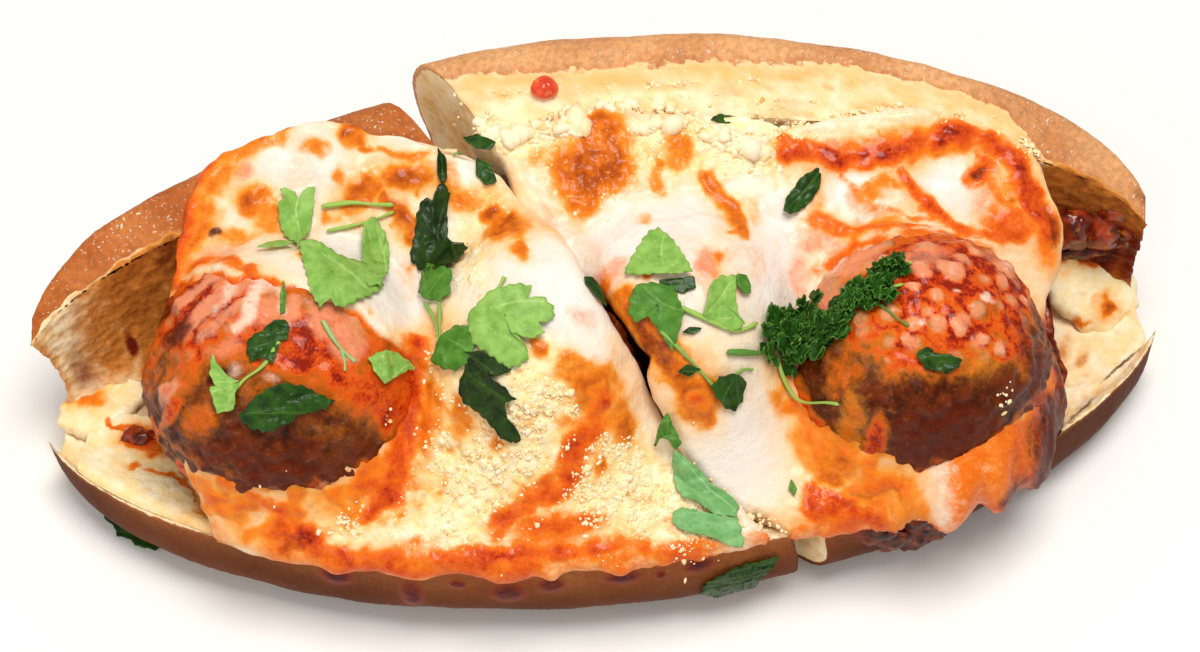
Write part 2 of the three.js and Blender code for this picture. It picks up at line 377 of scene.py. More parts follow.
# The roll and its two halves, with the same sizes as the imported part

# sizes of the whole roll; frontMelt and rise: the melt's height at the front rim and its slope
roll = {
    "halfLength": 107, "backEnd": 8, "rimHeight": 25, "rimDrop": 11, "lidHeight": 58,
    "lidDrop": 22, "lipEnd": 4, "lipDepth": 25, "valley": 11, "frontMelt": 27, "rise": 0.37,
}
# tip: where each half ends; slit, lid: how much shorter it is half way up and at the lip; turn, slip:
# how it lies now; cut: the knife's plane, x = first + second * y; press: the same for the meatballs
halves = {
    "left": {"side": -1, "tip": 105.5, "slit": 4, "lid": 1, "front": 46.5, "back": 37,
             "cut": (-3.5, -0.8), "press": (-3.5, -0.8), "turn": 0, "slip": (0, 0)},
    "right": {"side": 1, "tip": 105, "slit": 2.5, "lid": 3.5, "front": 48.5, "back": 40.5,
              "cut": (2, -0.76), "press": (-6.6, -0.83), "turn": -1, "slip": (1.5, 2)},
}
pivot = (35, -43)  # front corner of the cut, which the right half has swung about
boxLow = np.array(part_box("bread_left")[0]) * 1000
shift = (boxLow[0] + halves["left"]["tip"], boxLow[1] + halves["left"]["front"])


def taper(x):  # 1 at the roll's middle, falling to 0 at its tips as in a blunt ellipse
    return np.maximum(0, 1 - (x / roll["halfLength"]) ** 2) ** 0.6


def toRoll(half, x, y):  # a place in the frame, in plan, as the whole roll had it before it was cut
    x, y = x - shift[0] - half["slip"][0] - pivot[0], y - shift[1] - half["slip"][1] - pivot[1]
    x, y = turned(x, y, -half["turn"])
    return x + pivot[0], y + pivot[1]


def fromRoll(half, x, y):  # the other way: swung about the pivot, then slipped along
    x, y = turned(x - pivot[0], y - pivot[1], half["turn"])
    return x + pivot[0] + half["slip"][0] + shift[0], y + pivot[1] + half["slip"][1] + shift[1]


def frontOf(half, x):  # the front crust in plan: the half's depth times the taper
    return -half["front"] * taper(x)


def crownOf(x):  # the lid's height, lower towards the tips
    return roll["lidHeight"] - roll["lidDrop"] * (1 - taper(x) ** 0.85)


def lipOf(x):  # the lid's lip in plan, a bow that ends near the middle line
    return roll["lipEnd"] + roll["lipDepth"] * taper(x) ** 1.15


def rimOf(x):  # the front rim's height, lower towards the tips
    return roll["rimHeight"] - roll["rimDrop"] * (1 - taper(x))


def backOf(half, x):  # the back crust in plan, as the front one is
    return roll["backEnd"] + half["back"] * taper(x)


def lidTop(half, x, y):  # height of the crust on top of the lid, falling away below its lip
    f, lip, crown = taper(x), lipOf(x), crownOf(x)
    flat = backOf(half, x) - 2 - 3.5 * f
    up = mix(crown - 3 - 2 * f, crown, np.clip((y - lip) / np.maximum(flat - lip, 1), 0, 1) ** 0.8)
    down = crown - 0.9 * np.maximum(y - flat, 0) ** 1.3
    return np.where(y > flat, down, up) - 3.5 * np.maximum(lip - y, 0)


def sectionPoints(half, x):  # crust and crumb corners of the roll's section at x
    f, front, back = taper(x), frontOf(half, x), backOf(half, x)
    crown, lip, rim = crownOf(x), lipOf(x), rimOf(x)
    crust = [(front + 2, rim), (front, 8 + 3 * f), (front + 1 + 4.5 * f, 2.4),
             (front * 0.72 + 1, 0), (3 + 7 * f, 0), (back * 0.62 + 3, 4 + 2 * f),
             (back - 3.5, crown * 0.45), (back, crown - 8 - 2 * f), (back - 2 - 3.5 * f, crown),
             (lip, crown - 3 - 2 * f)]
    crumb = [(front + 2, rim), (front * 0.72, 10 + 8 * f), (front * 0.3, roll["valley"]),
             (lip * 0.22, 12), (lip * 0.72, 12 + 14 * f),
             (lip - 1.5 * f, crown - 8 - 7 * f), (lip, crown - 3 - 2 * f)]
    return [np.stack([stacked(*corner) for corner in corners], axis=-2) for corners in (crust, crumb)]


sheetCols = 150
for half in halves.values():
    half["stations"] = np.linspace(-64, half["tip"], 110)
    sections = sectionPoints(half, half["side"] * half["stations"])
    for sheet, corners in zip(("crust", "crumb"), sections):
        half[sheet] = np.maximum(curveThrough(corners, sheetCols), [-99, 0])  # nothing below the table


def sheetAt(half, sheet, x, s):  # (y, z) on the crust or crumb at x, s of the way from front rim to lip
    stations = half["stations"]
    row = (half["side"] * x - stations[0]) / (stations[1] - stations[0])
    return between(half[sheet], row, np.clip(s, 0, 1) * (sheetCols - 1.001))


# Bread: a crust sheet and a crumb sheet that meet at the rim and the lip, closed by the cut face
# and the torn end

# the low crust colour is a darker underside with painted shade in it, and also serves the random mottling;
# the pale crust colour is partly painted light; the pore colour is painted shade; the bake tones also paint
# the shade in the end hollows
breadLook = {
    "crust": ("#BA6026", "#D48244"), "crustLowShadeAndMottle": "#5C2A0C", "crustPaleAndLit": "#F8BC80", "flour": "#F6E6CF",
    "crumb": ("#FDEAC6", "#F9D8A0"), "poreShade": "#E5AE6A", "golden": "#F6B668",
    "bake": ((0, "#EFB45E"), (0.45, "#CC7E30"), (0.8, "#94501C"), (1, "#622C0E")),
    "stain": ((0, "#A04A16"), (0.45, "#8C300C"), (0.85, "#701E08"), (1, "#501208")),
    "char": ((0, "#8A4A22"), (0.5, "#5A2A14"), (1, "#2A130A")),
}
breadCoats = {  # coats over crust and crumb, each where the mask of its name says
    "bake": {"size": 3.0, "ragged": 0.5, "edge": (0.05, 0.5), "rough": 0.75},
    "stain": {"size": 1.6, "ragged": 0.4, "edge": (0.1, 0.8), "rough": 0.3},
    "char": {"size": 1.2, "ragged": 0.6, "rough": 0.7, "cover": 0.9},
}
breadSpots = {
    # where the right lid's crust ends, and crumb shows from there to the lip: (x, y) in plan
    "peel": {
        "right": [(-40, 38), (-20, 39), (0, 38.5), (20, 38.5), (40, 36), (50, 34.5), (60, 31.5), (70, 28),
            (78, 24.5), (84, 18), (88, 10), (110, 0)]},
    # sauce that ran down the front crust: (x, z, half width, half height)
    "runs": {
        "left": [(-54, 18, 2.8, 2.4), (-40.5, 15.5, 2, 4), (-23, 17.5, 3, 2.6), (-15, 19.5, 2.4, 2),
            (-2, 20.5, 3.2, 2), (12, 21, 2.8, 1.8), (-32, 20, 1.5, 1.2), (5, 20, 1, 1)],
        "right": [(45, 19, 3, 2.4)]},
    # darkest toasting, sauce and char: (x, y, half length, half width, turn, strength); at the two ends the
    # toasting also paints the shade in the hollows under the lid
    "toast": {
        "left": [(-92, 9, 7, 4, 20, .45), (-86, 13, 8, 2.6, 15, .6), (-79, 17, 5, 2.5, 20, .75),
            (-97, 2, 5, 5, 0, .25), (-84, 6, 5, 8, 0, .6), (-104, 3, 3, 2, 0, .4)],
        "right": [(93, 12, 8, 3, -20, .7), (99, 8, 6, 2.4, -30, .7), (88, 14, 6, 2.4, 0, .6),
            (104, 5, 3, 2, -30, .6), (88, -7, 5, 2, 60, .35), (92, -9, 2.4, 1.2, 50, .4)]},
    "sauce": {
        "left": [(-98, 4.5, 2.6, 2.6, 20, .6), (-95, 4, 3, 2, 0, .35), (-89, 9.5, 1.1, 1, 0, .9)],
        "right": [(91, 11, 3, 1.4, -10, .9), (98, 8, 4, 1.2, -20, 1), (103, 5.5, 3, 1.2, -30, .9),
            (95, 0, 3, 1.6, 40, .3)]},
    "char": {
        "left": [(-106, 0, 1.4, 3, 0, .3)],
        "right": [(99.5, -11, 6.5, .4, 38, .6), (88, -23, 6, .5, 42, .5), (103, 9, 3, 1, -40, .4)]},
}


def breadMaterial():
    # soft torpedo roll: oven-browned crust dusted with flour, open cream crumb toasted at its edges, with
    # painted shade low down, in pores and in the end hollows, and painted light high on the right half
    material, tree = newMaterial("white roll, oven-baked crust and torn crumb", Subsurface_Weight=0.1,
                                 Subsurface_Scale=0.0015, IOR=1.45, Specular_IOR_Level=0.12)
    look = breadLook
    mottling = speckle(tree, 1.1, 4, 0.7, 0.3, 0.72, 0.42)
    specks = add(tree, "Math", times, i0=speckle(tree, 0.55, 2, low=0.6, high=0.72), i1="flour")
    # crust colour: darkened low down with painted shade, paled high on the right half with painted light,
    # mottled at random and flecked with flour
    crust = layered(tree, look["crust"][0], (speckle(tree, 12, 4, low=0.25, high=0.75), look["crust"][1]),
                    ("pale", look["crustPaleAndLit"]), ("low", look["crustLowShadeAndMottle"]), (mottling, look["crustLowShadeAndMottle"]),
                    (specks, look["flour"]))
    # crumb colour, with painted shade in the deep pores
    crumb = layered(tree, look["crumb"][0], (speckle(tree, 5, 3, low=0.35, high=0.65), look["crumb"][1]),
                    ("deep", look["poreShade"]), ("golden", look["golden"]))
    torn = add(tree, "Math", timesPlus, i0=speckle(tree, 1.6, 4, 0.65), i1=0.9, i2=-0.45)
    inside = add(tree, "MapRange", smooth, Value=add(tree, "Math", plus, i0="crumb", i1=torn),
                 From_Min=0.38, From_Max=0.6)
    colour = layered(tree, crust, (inside, crumb))
    gloss = add(tree, "Mix", single, Factor=inside, i2=0.62, i3=0.85)
    coats = [{"mask": k, "tones": look[k], **coat} for k, coat in breadCoats.items()]
    colour, gloss = paintOver(tree, colour, gloss, coats)
    return finished(material, [(0.5, 0.12), (1.6, 0.2)], Base_Color=colour, Roughness=gloss)


def breadSheet(half, sheet):
    # lines along the crust or crumb, each from where it meets the knife's plane to the tip
    s = np.linspace(0, 1, sheetCols)
    cut, slope = half["cut"]
    start = np.full(sheetCols, float(cut))
    for _ in range(10):
        start = cut + slope * sheetAt(half, sheet, start, s)[:, 0]
    x = mix(start, half["side"] * half["tip"], np.linspace(0, 1, 205)[:, None])
    yz = sheetAt(half, sheet, x, s)
    near = np.clip((half["side"] * x + 60) / (half["tip"] + 60), 0, 1) ** 12
    x = x - half["side"] * near * (half["slit"] * np.sin(math.pi * s) + half["lid"] * s ** 2)
    return stacked(*fromRoll(half, x, yz[..., 0]), yz[..., 1])


def breadMasks(key, part, inside, spot):
    # crumb or crust, what the oven, the flour and the sauce did to it, and the painted light and shade on it
    x, y, z = np.moveaxis(spot, -1, 0)
    s = np.linspace(0, 1, sheetCols)
    golden = runs = 0 * x
    if part == "crust":
        if key in breadSpots["peel"]:
            peel = np.interp(x, *np.transpose(breadSpots["peel"][key]))
            edge = y - peel - waves(spot, (1.2, 14, 3), (0.9, 2.6, 4), (0.6, 1.2, 6))
            inside = (z > 26) * blend(1.6, -1.6, edge) * (s > 0.55)
            fade = blend(-6, 0.5, edge) + 0.5 * blend(0.0, 0.6, noise(spot, 5, 7))
            golden = 0.85 * (z > 26) * np.clip(fade, 0, 1)
        inside = np.maximum(inside, blend(0.985, 1, s + 0.01 * noise(spot, 3, 8)))
        inside = np.maximum(inside, 0.7 * blend(0.012, 0, s))
        places = [place + (0, 1.0) for place in breadSpots["runs"][key]]
        runs = spots(x, z, places) * (y < shift[1]) * (s < 0.3)
    crust = 1 - inside
    # darker towards the bottom and low on the right front: partly a darker-baked underside, partly painted
    # shade on faces that turn down and forward
    low = (blend(30, 12, z) * 0.9 + 0.35 * blend(30, 62, x) * blend(30, 20, z) * (y < 0)
           + 0.12 * blend(0.35, -0.5, noise(spot, 16, 2)))
    # paler towards the top of the right half: partly a lighter bake, partly painted light on the
    # upward-facing crust
    pale = (key == "right") * 0.8 * blend(18, 46, z) * np.clip(0.85 + 0.5 * noise(spot, 13, 9), 0, 1)
    stain = spots(x, y, breadSpots["sauce"][key]) * blend(37, 31, z) * blend(12, 19, z) * inside
    blotch = 0.5 * (part == "end") * blend(0.3, -0.6, noise(spot, 8, 5))
    # toasting marks also paint the shade in the hollows under the lid at the two ends
    return {"crumb": inside, "low": np.clip(low, 0, 1) * crust, "pale": pale * crust,
            "flour": blend(14, 40, z) * crust * np.clip(0.6 + 0.6 * noise(spot, 8, 6), 0, 1),
            "stain": np.maximum(stain, runs), "golden": golden * inside,
            "bake": np.maximum(spots(x, y, breadSpots["toast"][key]) * inside, blotch),
            "char": spots(x, y, breadSpots["char"][key]), "band": inside * (part == "crust") * (z > 30)}


def breadRelief(points, values):
    # a crust with slow dents and fine wrinkles; crumb with pores of two sizes, flaky along the lid
    inside, band = values["crumb"], values["band"]
    slow = waves(points, (0.7, 24, 1), (0.25, 8, 2))
    wrinkles = waves(points, (0.1, (2.6, 1.3, 1.3), 3), (0.07, 0.9, 4))
    pores = (0.9 * (cellNoise(points, 2.6, 5)[0] - 0.45) + 0.5 * (cellNoise(points, 1.2, 6)[0] - 0.45)
             + 0.35 * noise(points, 5, 7))
    flakes = waves(points, (0.55, (13, 1.5, 3), 8), (0.35, (6, 0.9, 2), 9))
    crumbly = mix(pores, 0.5 * pores + flakes, band)
    # painted shade in the deepest pores of the crumb
    values["deep"] = np.clip(blend(0.1, -0.65, crumbly) * inside, 0, 1)
    height = slow * (1 - 0.5 * inside) + mix(wrinkles, crumbly * (0.8 + 0.4 * band), inside)
    return (height + 0.5 * values["stain"] * (1 - inside)) * blend(0, 5, points[:, 2])


def breadHalf(key, half, material):
    # crust and crumb, joined by the cut face at one end and the torn tip at the other
    grids = {sheet: breadSheet(half, sheet) for sheet in ("crust", "crumb")}
    inside = {"crust": 0 * grids["crust"][..., 0], "crumb": 0 * grids["crumb"][..., 0] + 1}
    depth = np.linspace(0, 1, 26)[:, None]
    for part, row in (("cut", 0), ("end", -1)):  # faces that run in from the crust, whose skin is thin
        crust, crumb = grids["crust"][row], grids["crumb"][row]
        grids[part] = mix(crust, crumb, depth[..., None])
        inside[part] = blend(0.4, 1.6, depth * np.linalg.norm(crumb - crust, axis=-1))
    masks = [breadMasks(key, part, inside[part], grid) for part, grid in grids.items()]
    return gridPiece("roll_" + key, list(grids.values()), masks, material, "bread", stands=["bread_" + key],
                     relief=breadRelief)


surfaces = {}
breadStuff = breadMaterial()
for key, half in halves.items():
    surfaces["roll_" + key] = breadHalf(key, half, breadStuff)
print("roll halves made")


# Where things lie on the melt and on the meatballs, in plan millimetres.
# spots: (x, y, half length, half width, turn, strength); streaks: (half width, strength, points)

meltPaint = {
    "left": {
        "toast": {
            "spots": [(-75, 17, 4.2, 3.4, 70, 1), (-62, 21, 3.2, 2.2, 0, .9), (-42, 20, 3.6, 2.6, 20, 1),
                (-34, 22, 4.8, 2, 0, .95), (-43, 30, 2.8, 2, 30, .8), (-59, 17.5, 4, 3.2, 0, .65),
                (-56, 33, 1.8, 1.2, 0, .7), (-50, 28, 2.4, 1.6, 0, .5), (-17, 9, 4, 3.6, 30, .95),
                (-19, 13.5, 2.4, 1.6, 0, .8), (-15, 2, 1.4, 2.6, 20, .75), (-24, 16, 3, 2, 0, .4),
                (-14, -18, 1.6, 1.4, 0, .85), (-4, -23, 4.4, 4, 0, .8), (0, -26, 2.4, 3.2, 20, .65),
                (-8, -21, 3, 2.6, 0, .6), (-29, -24, 2.4, 3.4, 0, .5), (-34.5, -19, 1.8, 3.6, -15, .7),
                (-5, -33, 1.6, 1.6, 0, .6), (-53, 6, 1.8, 1.4, 0, .6), (-68, 25, 4, 2.4, 40, .6),
                (-46, 24, 1.6, 1.4, 0, .5), (-72, 21, 3, 4, 0, .7), (-66, 15, 5, 2, 0, .5),
                (-22, -29, 2, 1.2, 0, .45), (-26, 20, 2, 3.4, 0, .4), (-36, 4, 1.6, 4, 0, .3),
                (-10, -28, 2.4, 1.4, 0, .5), (-48, 17, 2, 1.2, 0, .5), (-71, -29, 3, 5, 0, .5),
                (-64, -28, 4, 2.4, -10, .6), (-52, -32, 5, 2, -10, .5), (-44, -36, 4, 2, 0, .4)],
            "streaks": [(1.3, .9, [(-38, 18), (-36, 15), (-34.5, 11)]), (.7, .6, [(-41, 27), (-30, 25)]),
                (1.6, .6, [(-74, 25), (-66, 29), (-57, 31)])],
        },
        "sauce": {
            "spots": [(-13, -41, 8, 2.4, 5, .65), (-40, -41, 5, 1.6, 0, .5), (-60, -36, 3.6, 1.6, -10, 1),
                (-46, -30, 3, 3, 0, .6), (9, -42, 4, 1.4, 0, .35), (-38, -31, 2.2, 4, 10, .4)],
            "streaks": [
                (2.8, .95, [(-69, 30), (-74, 26), (-75.5, 21), (-78, 16), (-80, 10)]),
                (1.4, .6, [(-76, 12), (-70, 9), (-64, 4), (-58, -3)]),
                (1, .5, [(-72, -27), (-66, -31), (-61, -34)]),
                (1.6, .74, [(-3, -24), (-6, -28), (-8, -31), (-12, -34.5), (-18, -37.5), (-24, -40)]),
                (1.6, .75, [(-63, -34), (-57, -37.5), (-50, -40.5), (-42, -42.5), (-34, -44), (-27, -44.5),
                    (-20, -44), (-12, -44.5), (-5, -45), (2, -45)]),
                (2, .8, [(-35, -11), (-36.5, -16), (-38, -21), (-40, -26), (-42, -30), (-46, -34)])],
        },
        "milk": {
            "spots": [(-53, 26, 8, 5, 0, .9), (-38, 0, 5, 7, 0, 1), (-8, -8, 6.5, 10, 20, 1),
                (-25, 22, 5, 2, 0, .6), (-46, 11, 5, 4, 0, .9), (-4, -17, 3.5, 4, 30, .8),
                (-66, 19, 3, 2, 0, .6), (-30, 14, 3, 3, 0, .6), (-17, -4, 3, 5, 0, .5)],
        },
        "pink": {"spots": [(-64, 26, 2, 2, 0, .8), (-5, -12, 3, 2.4, 0, .5), (-70, 12, 5, 3, 0, .6)]},
        "grain": {
            "spots": [(-26, -31, 15, 10, 0, 1), (-1, -36, 12, 8, -10, 1), (-50, -34, 12, 4, -8, .8),
                (-14, -25, 11, 7, 0, .9), (8, -41, 10, 7, -10, 1), (-19, 12, 4, 7, 0, .8),
                (-31, -16, 4, 7, 0, .7), (-24, 4, 4, 9, 10, .55)],
        },
        "char": {
            "spots": [(-70, 16, 1.3, 1, 0, .8), (-77, 19, 1.6, 2.4, 0, .5), (-61, -36.6, 2, 1, -10, .4)],
        },
        "wet": {"spots": [(-7, -9, 7, 10, 20, .6), (-38, 0, 5, 7, 0, .5), (-48, 14, 6, 5, 0, .4)]},
    },
    "right": {
        "toast": {
            "spots": [(3, 27, 3.4, 2.8, 0, .95), (0, 20.5, 7, 5.6, 0, 1), (4, 23, 4, 4, 0, .9),
                (-2, 15, 4, 2.6, 0, .6), (16, 22, 3, 3.4, 0, .75), (50, 5, 5, 1.8, 10, .6),
                (34, -32, 3, 4.6, 0, .6), (37, -36, 3.4, 2.6, 0, .8), (44, -40, 6, 2.2, 0, .75),
                (51, -41.5, 4, 1.6, 0, .6), (38, -34, 5, 4, 0, .65), (75, -34, 5, 3, 30, .6),
                (78, -24, 4, 8, 0, .8), (14, -24, 3.2, 2.6, 0, 1), (66, 19, 5, 2, 0, .7),
                (12, 17, 2, 3, 0, .5), (78, 12, 4, 2.6, 60, .6), (-8, 22, 3, 2, 0, .4),
                (41, 12, 2, 4, 0, .35), (60, 22, 6, 1.6, 0, .6), (29, 9, 2, 3, 0, .35),
                (8, 9, 2, 2, 0, .35)],
            "streaks": [(1.5, .8, [(21, 16), (23, 12), (25, 7), (25, 4)]), (1.2, .5, [(50, 12), (55, 15),
                (59, 13)]), (2, .85, [(2.5, -8), (5.4, -13), (8, -17.5), (10.8, -22), (14, -26)])],
        },
        "sauce": {
            "spots": [(76, 5, 4.6, 3, 10, .85), (83, 4, 2, 5, 0, .8), (52, 20, 11, 2, 0, .7),
                (72, 14, 3.2, 2.4, 0, .75), (14, -25, 1.6, 1.6, 0, .6), (78, -30, 4, 6, 40, .9),
                (74, -37, 4, 2, 20, .6), (8, -6, 1.4, 1, 0, .5), (82, -16, 2, 6, 0, .8),
                (20, -2.7, 1.2, 2, 0, .55), (.6, -3.8, 1.2, 1.8, 0, .6), (82, -22, 3, 11, 15, .95),
                (76, -35, 8, 3.4, 38, .95), (66, -41, 7, 2, 20, .8), (47, -44, 14, 2, 0, .75)],
            "streaks": [
                (1.4, .7, [(70, -41), (77, -36), (83, -29)]),
                (1.9, .92, [(36, 20), (40, 19), (46, 18), (52, 19), (60, 20), (66, 20.5), (71, 20.5),
                    (75, 18.5), (78, 16), (80, 12), (83, 6)]),
                (1.1, .7, [(57, 16), (59, 13), (61, 9.5), (64, 6), (70, 3.5), (75, 3)]),
                (2.1, .8, [(33, -40.5), (40, -43), (47, -45), (55, -43.5), (62, -41.5), (68, -38.5),
                    (75, -34.5), (79, -30), (83, -26)]),
                (1.4, .6, [(40, 8), (46, 6), (53, 4), (60, 4)]),
                (.7, .4, [(46, 15), (50, 10), (57, 7.5), (64, 7)]),
                (.9, .45, [(71, 18), (74, 12), (77, 7)])],
        },
        "milk": {
            "spots": [(60, -39, 6.5, 2.6, 0, 1), (4, 6, 11, 11, 0, 1), (28, -3, 6.5, 9, 0, 1),
                (49, 12.5, 5.5, 4, 0, .95), (66, 12.5, 5.5, 4.4, 0, .9), (19, -32, 10, 8, 0, .6),
                (68, -33, 3.4, 2, 30, .6), (-9, 18, 3.4, 4, 0, .6), (33, 8, 4, 5, 0, .8),
                (17, 8, 6, 5, 0, .8), (14, -13, 4, 5, 0, .5), (26, 14, 3, 2, 0, .4)],
        },
        "pink": {
            "spots": [(18, -5, 2.4, 5, 0, .85), (0, -3, 4.4, 3.4, 30, .7), (48, 11, 2, 2.4, 0, .6),
                (40, 4, 5, 3, 0, .7), (1, -7, 3, 2, 0, .6), (36, -2, 3, 5, 0, .6), (-8, 11, 1.2, 5, 30, .5),
                (22, -9, 2, 3, 0, .4), (58, 12, 4, 3, 0, .5), (50, 7, 6, 3, 0, .55), (44, 2, 4, 3, 0, .6),
                (73, 8, 4, 5, 0, .6)],
        },
        "grain": {
            "spots": [(0, 20, 9, 7, 0, .9), (17, 22, 9, 4, 0, .9), (29, 19, 6, 3, 0, .8),
                (-12, 26, 6, 3, 0, 1), (36, -39, 5, 2, 0, .6), (50, -43, 10, 3.4, 0, .9),
                (36, 22, 4, 2, 0, .9)],
        },
        "char": {
            "spots": [(72, 14, 1.5, 1.1, 0, .62), (83, -27, 1.8, 4, 30, .8), (79, -34, 5, 1.6, 40, .8),
                (71, -39.5, 5, 1.4, 20, .6), (62, -43, 4, 1.4, 10, .5), (84, 4, 1.4, 4, 0, .5),
                (82.8, -18, 2.6, 9, 0, .85), (79, -30.5, 7, 3, 42, .86), (71.5, -37.3, 7, 2.6, 25, .76),
                (60, -41.5, 7, 1.2, 10, .5), (75, -22, 2, 3, 0, .3)],
            "streaks": [(1.2, .5, [(4.2, -13), (7, -17.5), (9, -20.5)])],
        },
        "wet": {
            "spots": [(20, -31, 11, 8, 0, 1), (61, -40, 5, 3, 0, 1), (5, 0, 8, 8, 0, .5),
                (66, 12, 6, 5, 0, .7), (48, 18, 14, 3, 0, .7), (28, -4, 7, 8, 0, .5)],
        },
    },
}

# cheese skins: the four edges of each in plan, how far they hang over the rim, and their drips
skins = {
    "left": {
        "seam": [(24.5, -44.6), (22.5, -42.3), (19.5, -38.5), (16, -35.2), (12, -31), (9.5, -26.5),
            (7.5, -22), (5, -18.5), (2, -14.5), (-.5, -10), (-3, -4.5), (-4.5, 0), (-8.5, 7.5),
            (-12.5, 13.5), (-16, 19.5), (-21, 23.5), (-27, 25)],
        "back": [(-77, 13), (-74.5, 20), (-70, 27), (-64, 31), (-56, 33.5), (-50, 33), (-45, 32), (-40, 30),
            (-34, 28.5), (-27, 25)],
        "end": [(-74, -28), (-79, -22), (-81.5, -14), (-82, -6), (-80.5, 2), (-78.5, 9), (-77, 13)],
        "rim": (-75, 24.5),
        "hang": .9,
        "drips": [(-54, .8, 2.2), (-38, 1.2, 2.4), (-24, 1, 3), (-15, 1.2, 1.6), (-3, 1, 2), (12, .8, 1.2)],
    },
    "right": {
        "seam": [(29.5, -44.4), (25, -42.2), (19, -39.3), (15.2, -36.2), (10.4, -30.5), (7.7, -25.5),
            (6.2, -21.5), (6.3, -18), (3.9, -14.5), (1.5, -9.5), (-1.3, -4), (-4, -.5), (-8, 4.5),
            (-11.2, 9.5), (-14.8, 17.5), (-16.5, 24), (-22, 28.5)],
        "back": [(-22, 28.5), (-17, 27.5), (-12, 29), (-6, 29.5), (0, 30.5), (5, 31.5), (10, 29.5),
            (18, 27.5), (24, 25), (32, 23.5), (38, 24.5), (44, 26), (55, 26.5), (65, 25.5), (72, 23.5),
            (78, 21.5), (82, 18), (84, 14)],
        "end": [(82.6, -28), (83.5, -22), (82, -14), (82.5, -7), (85.4, -1), (86.4, 5), (85.2, 10),
            (84, 14)],
        "rim": (29.5, 82.6),
        "hang": 1.4,
        "drips": [(36, .6, 1.4), (47, .8, 2.6), (58, 1, 3), (68, 1.2, 3), (77, 1.2, 3)],
    },
}

balls = {
    "meatball_left_end": {"half": "left", "at": (-58.5, -5, 35), "radii": (26, 23.5, 23.5), "turn": .7},
    "meatball_left_middle": {"half": "left", "at": (-13, -4, 33.5), "radii": (21.5, 22, 22.5), "turn": 1.9},
    "meatball_right_middle": {"half": "right", "at": (12, -5, 33), "radii": (21, 21, 21.5), "turn": 3.1},
    "meatball_right_end": {"half": "right", "at": (55, -16, 35), "radii": (23.5, 22.5, 23.5), "turn": 4.4},
}


def coverOf(name, x, y):  # how far the melt lies over a meatball: below zero it peeps out
    stray = waves(stacked(x, y, 0), (2.5, 7, 23), (1.2, 2.8, 24))
    if name == "meatball_left_end":
        return mix(-2.2, 1.5, blend(-4, 3, y + 0.5 * (x + 62) + stray))
    if name == "meatball_right_end":
        return mix(-1.9, 1.5, blend(-3, 5, y + 0.45 * np.maximum(46 - x, 0) + stray))
    return 2.4


def meltHeight(key, x, y):
    # a slope from the front rim up to the lid, with a dome over each meatball melted into it
    half = halves[key]
    rx, ry = toRoll(half, x, y)
    top = roll["frontMelt"] - roll["rimDrop"] * (1 - taper(rx)) + roll["rise"] * (ry - frontOf(half, rx))
    for name, ball in balls.items():
        if ball["half"] == key:
            cover = coverOf(name, x, y)
            (cx, cy, cz), (bx, by, bz) = ball["at"], ball["radii"]
            out = np.hypot((rx - cx) / (bx + cover), (ry - cy) / (by + cover))
            leave, fall = (0.92, 1.8) if name.endswith("end") else (0.8, 1.33)
            dome = np.where(out < leave, np.sqrt(np.maximum(1 - out ** 2, 0)),
                            math.sqrt(1 - leave ** 2) - (out - leave) * fall)
            top = softMax(top, cz + (bz + cover) * dome, 6)
    lip = lipOf(rx)
    edge = lidTop(half, rx, np.maximum(ry, lip)) + 1.9
    return mix(softMax(top, edge - 0.5 * np.maximum(lip - ry, 0), 6), edge, blend(lip - 3, lip + 3, ry))


def netBetween(low, high, first, last, rows, cols):
    # a net stretched between four edges (Coons patch): blends the two pairs of edges across and
    # takes the blend of the corners away once
    u, v = np.linspace(0, 1, cols)[None, :, None], np.linspace(0, 1, rows)[:, None, None]
    low, high = curveThrough(low, cols)[None], curveThrough(high, cols)[None]
    first, last = curveThrough(first, rows)[:, None], curveThrough(last, rows)[:, None]
    corners = ((1 - u) * (1 - v) * low[:, :1] + u * (1 - v) * low[:, -1:]
               + (1 - u) * v * high[:, :1] + u * v * high[:, -1:])
    return (1 - v) * low + v * high + (1 - u) * first + u * last - corners


def closeUnder(top, steps, centre):
    # rings that turn in under a sheet from its border and close at a point: (inwards, down) each
    loop = np.concatenate([top[0, :-1], top[:-1, -1], top[-1, :0:-1], top[:0:-1, 0], top[:1, 0]])
    inward = centre[:2] - loop[:, :2]
    inward /= np.linalg.norm(inward, axis=1, keepdims=True)
    rings = [loop]
    for inset, drop in steps:
        rings.append(loop + stacked(inward[:, 0] * inset, inward[:, 1] * inset, -drop))
    return np.stack(rings + [mix(rings[-1], centre, 0.5), np.broadcast_to(centre, loop.shape)])


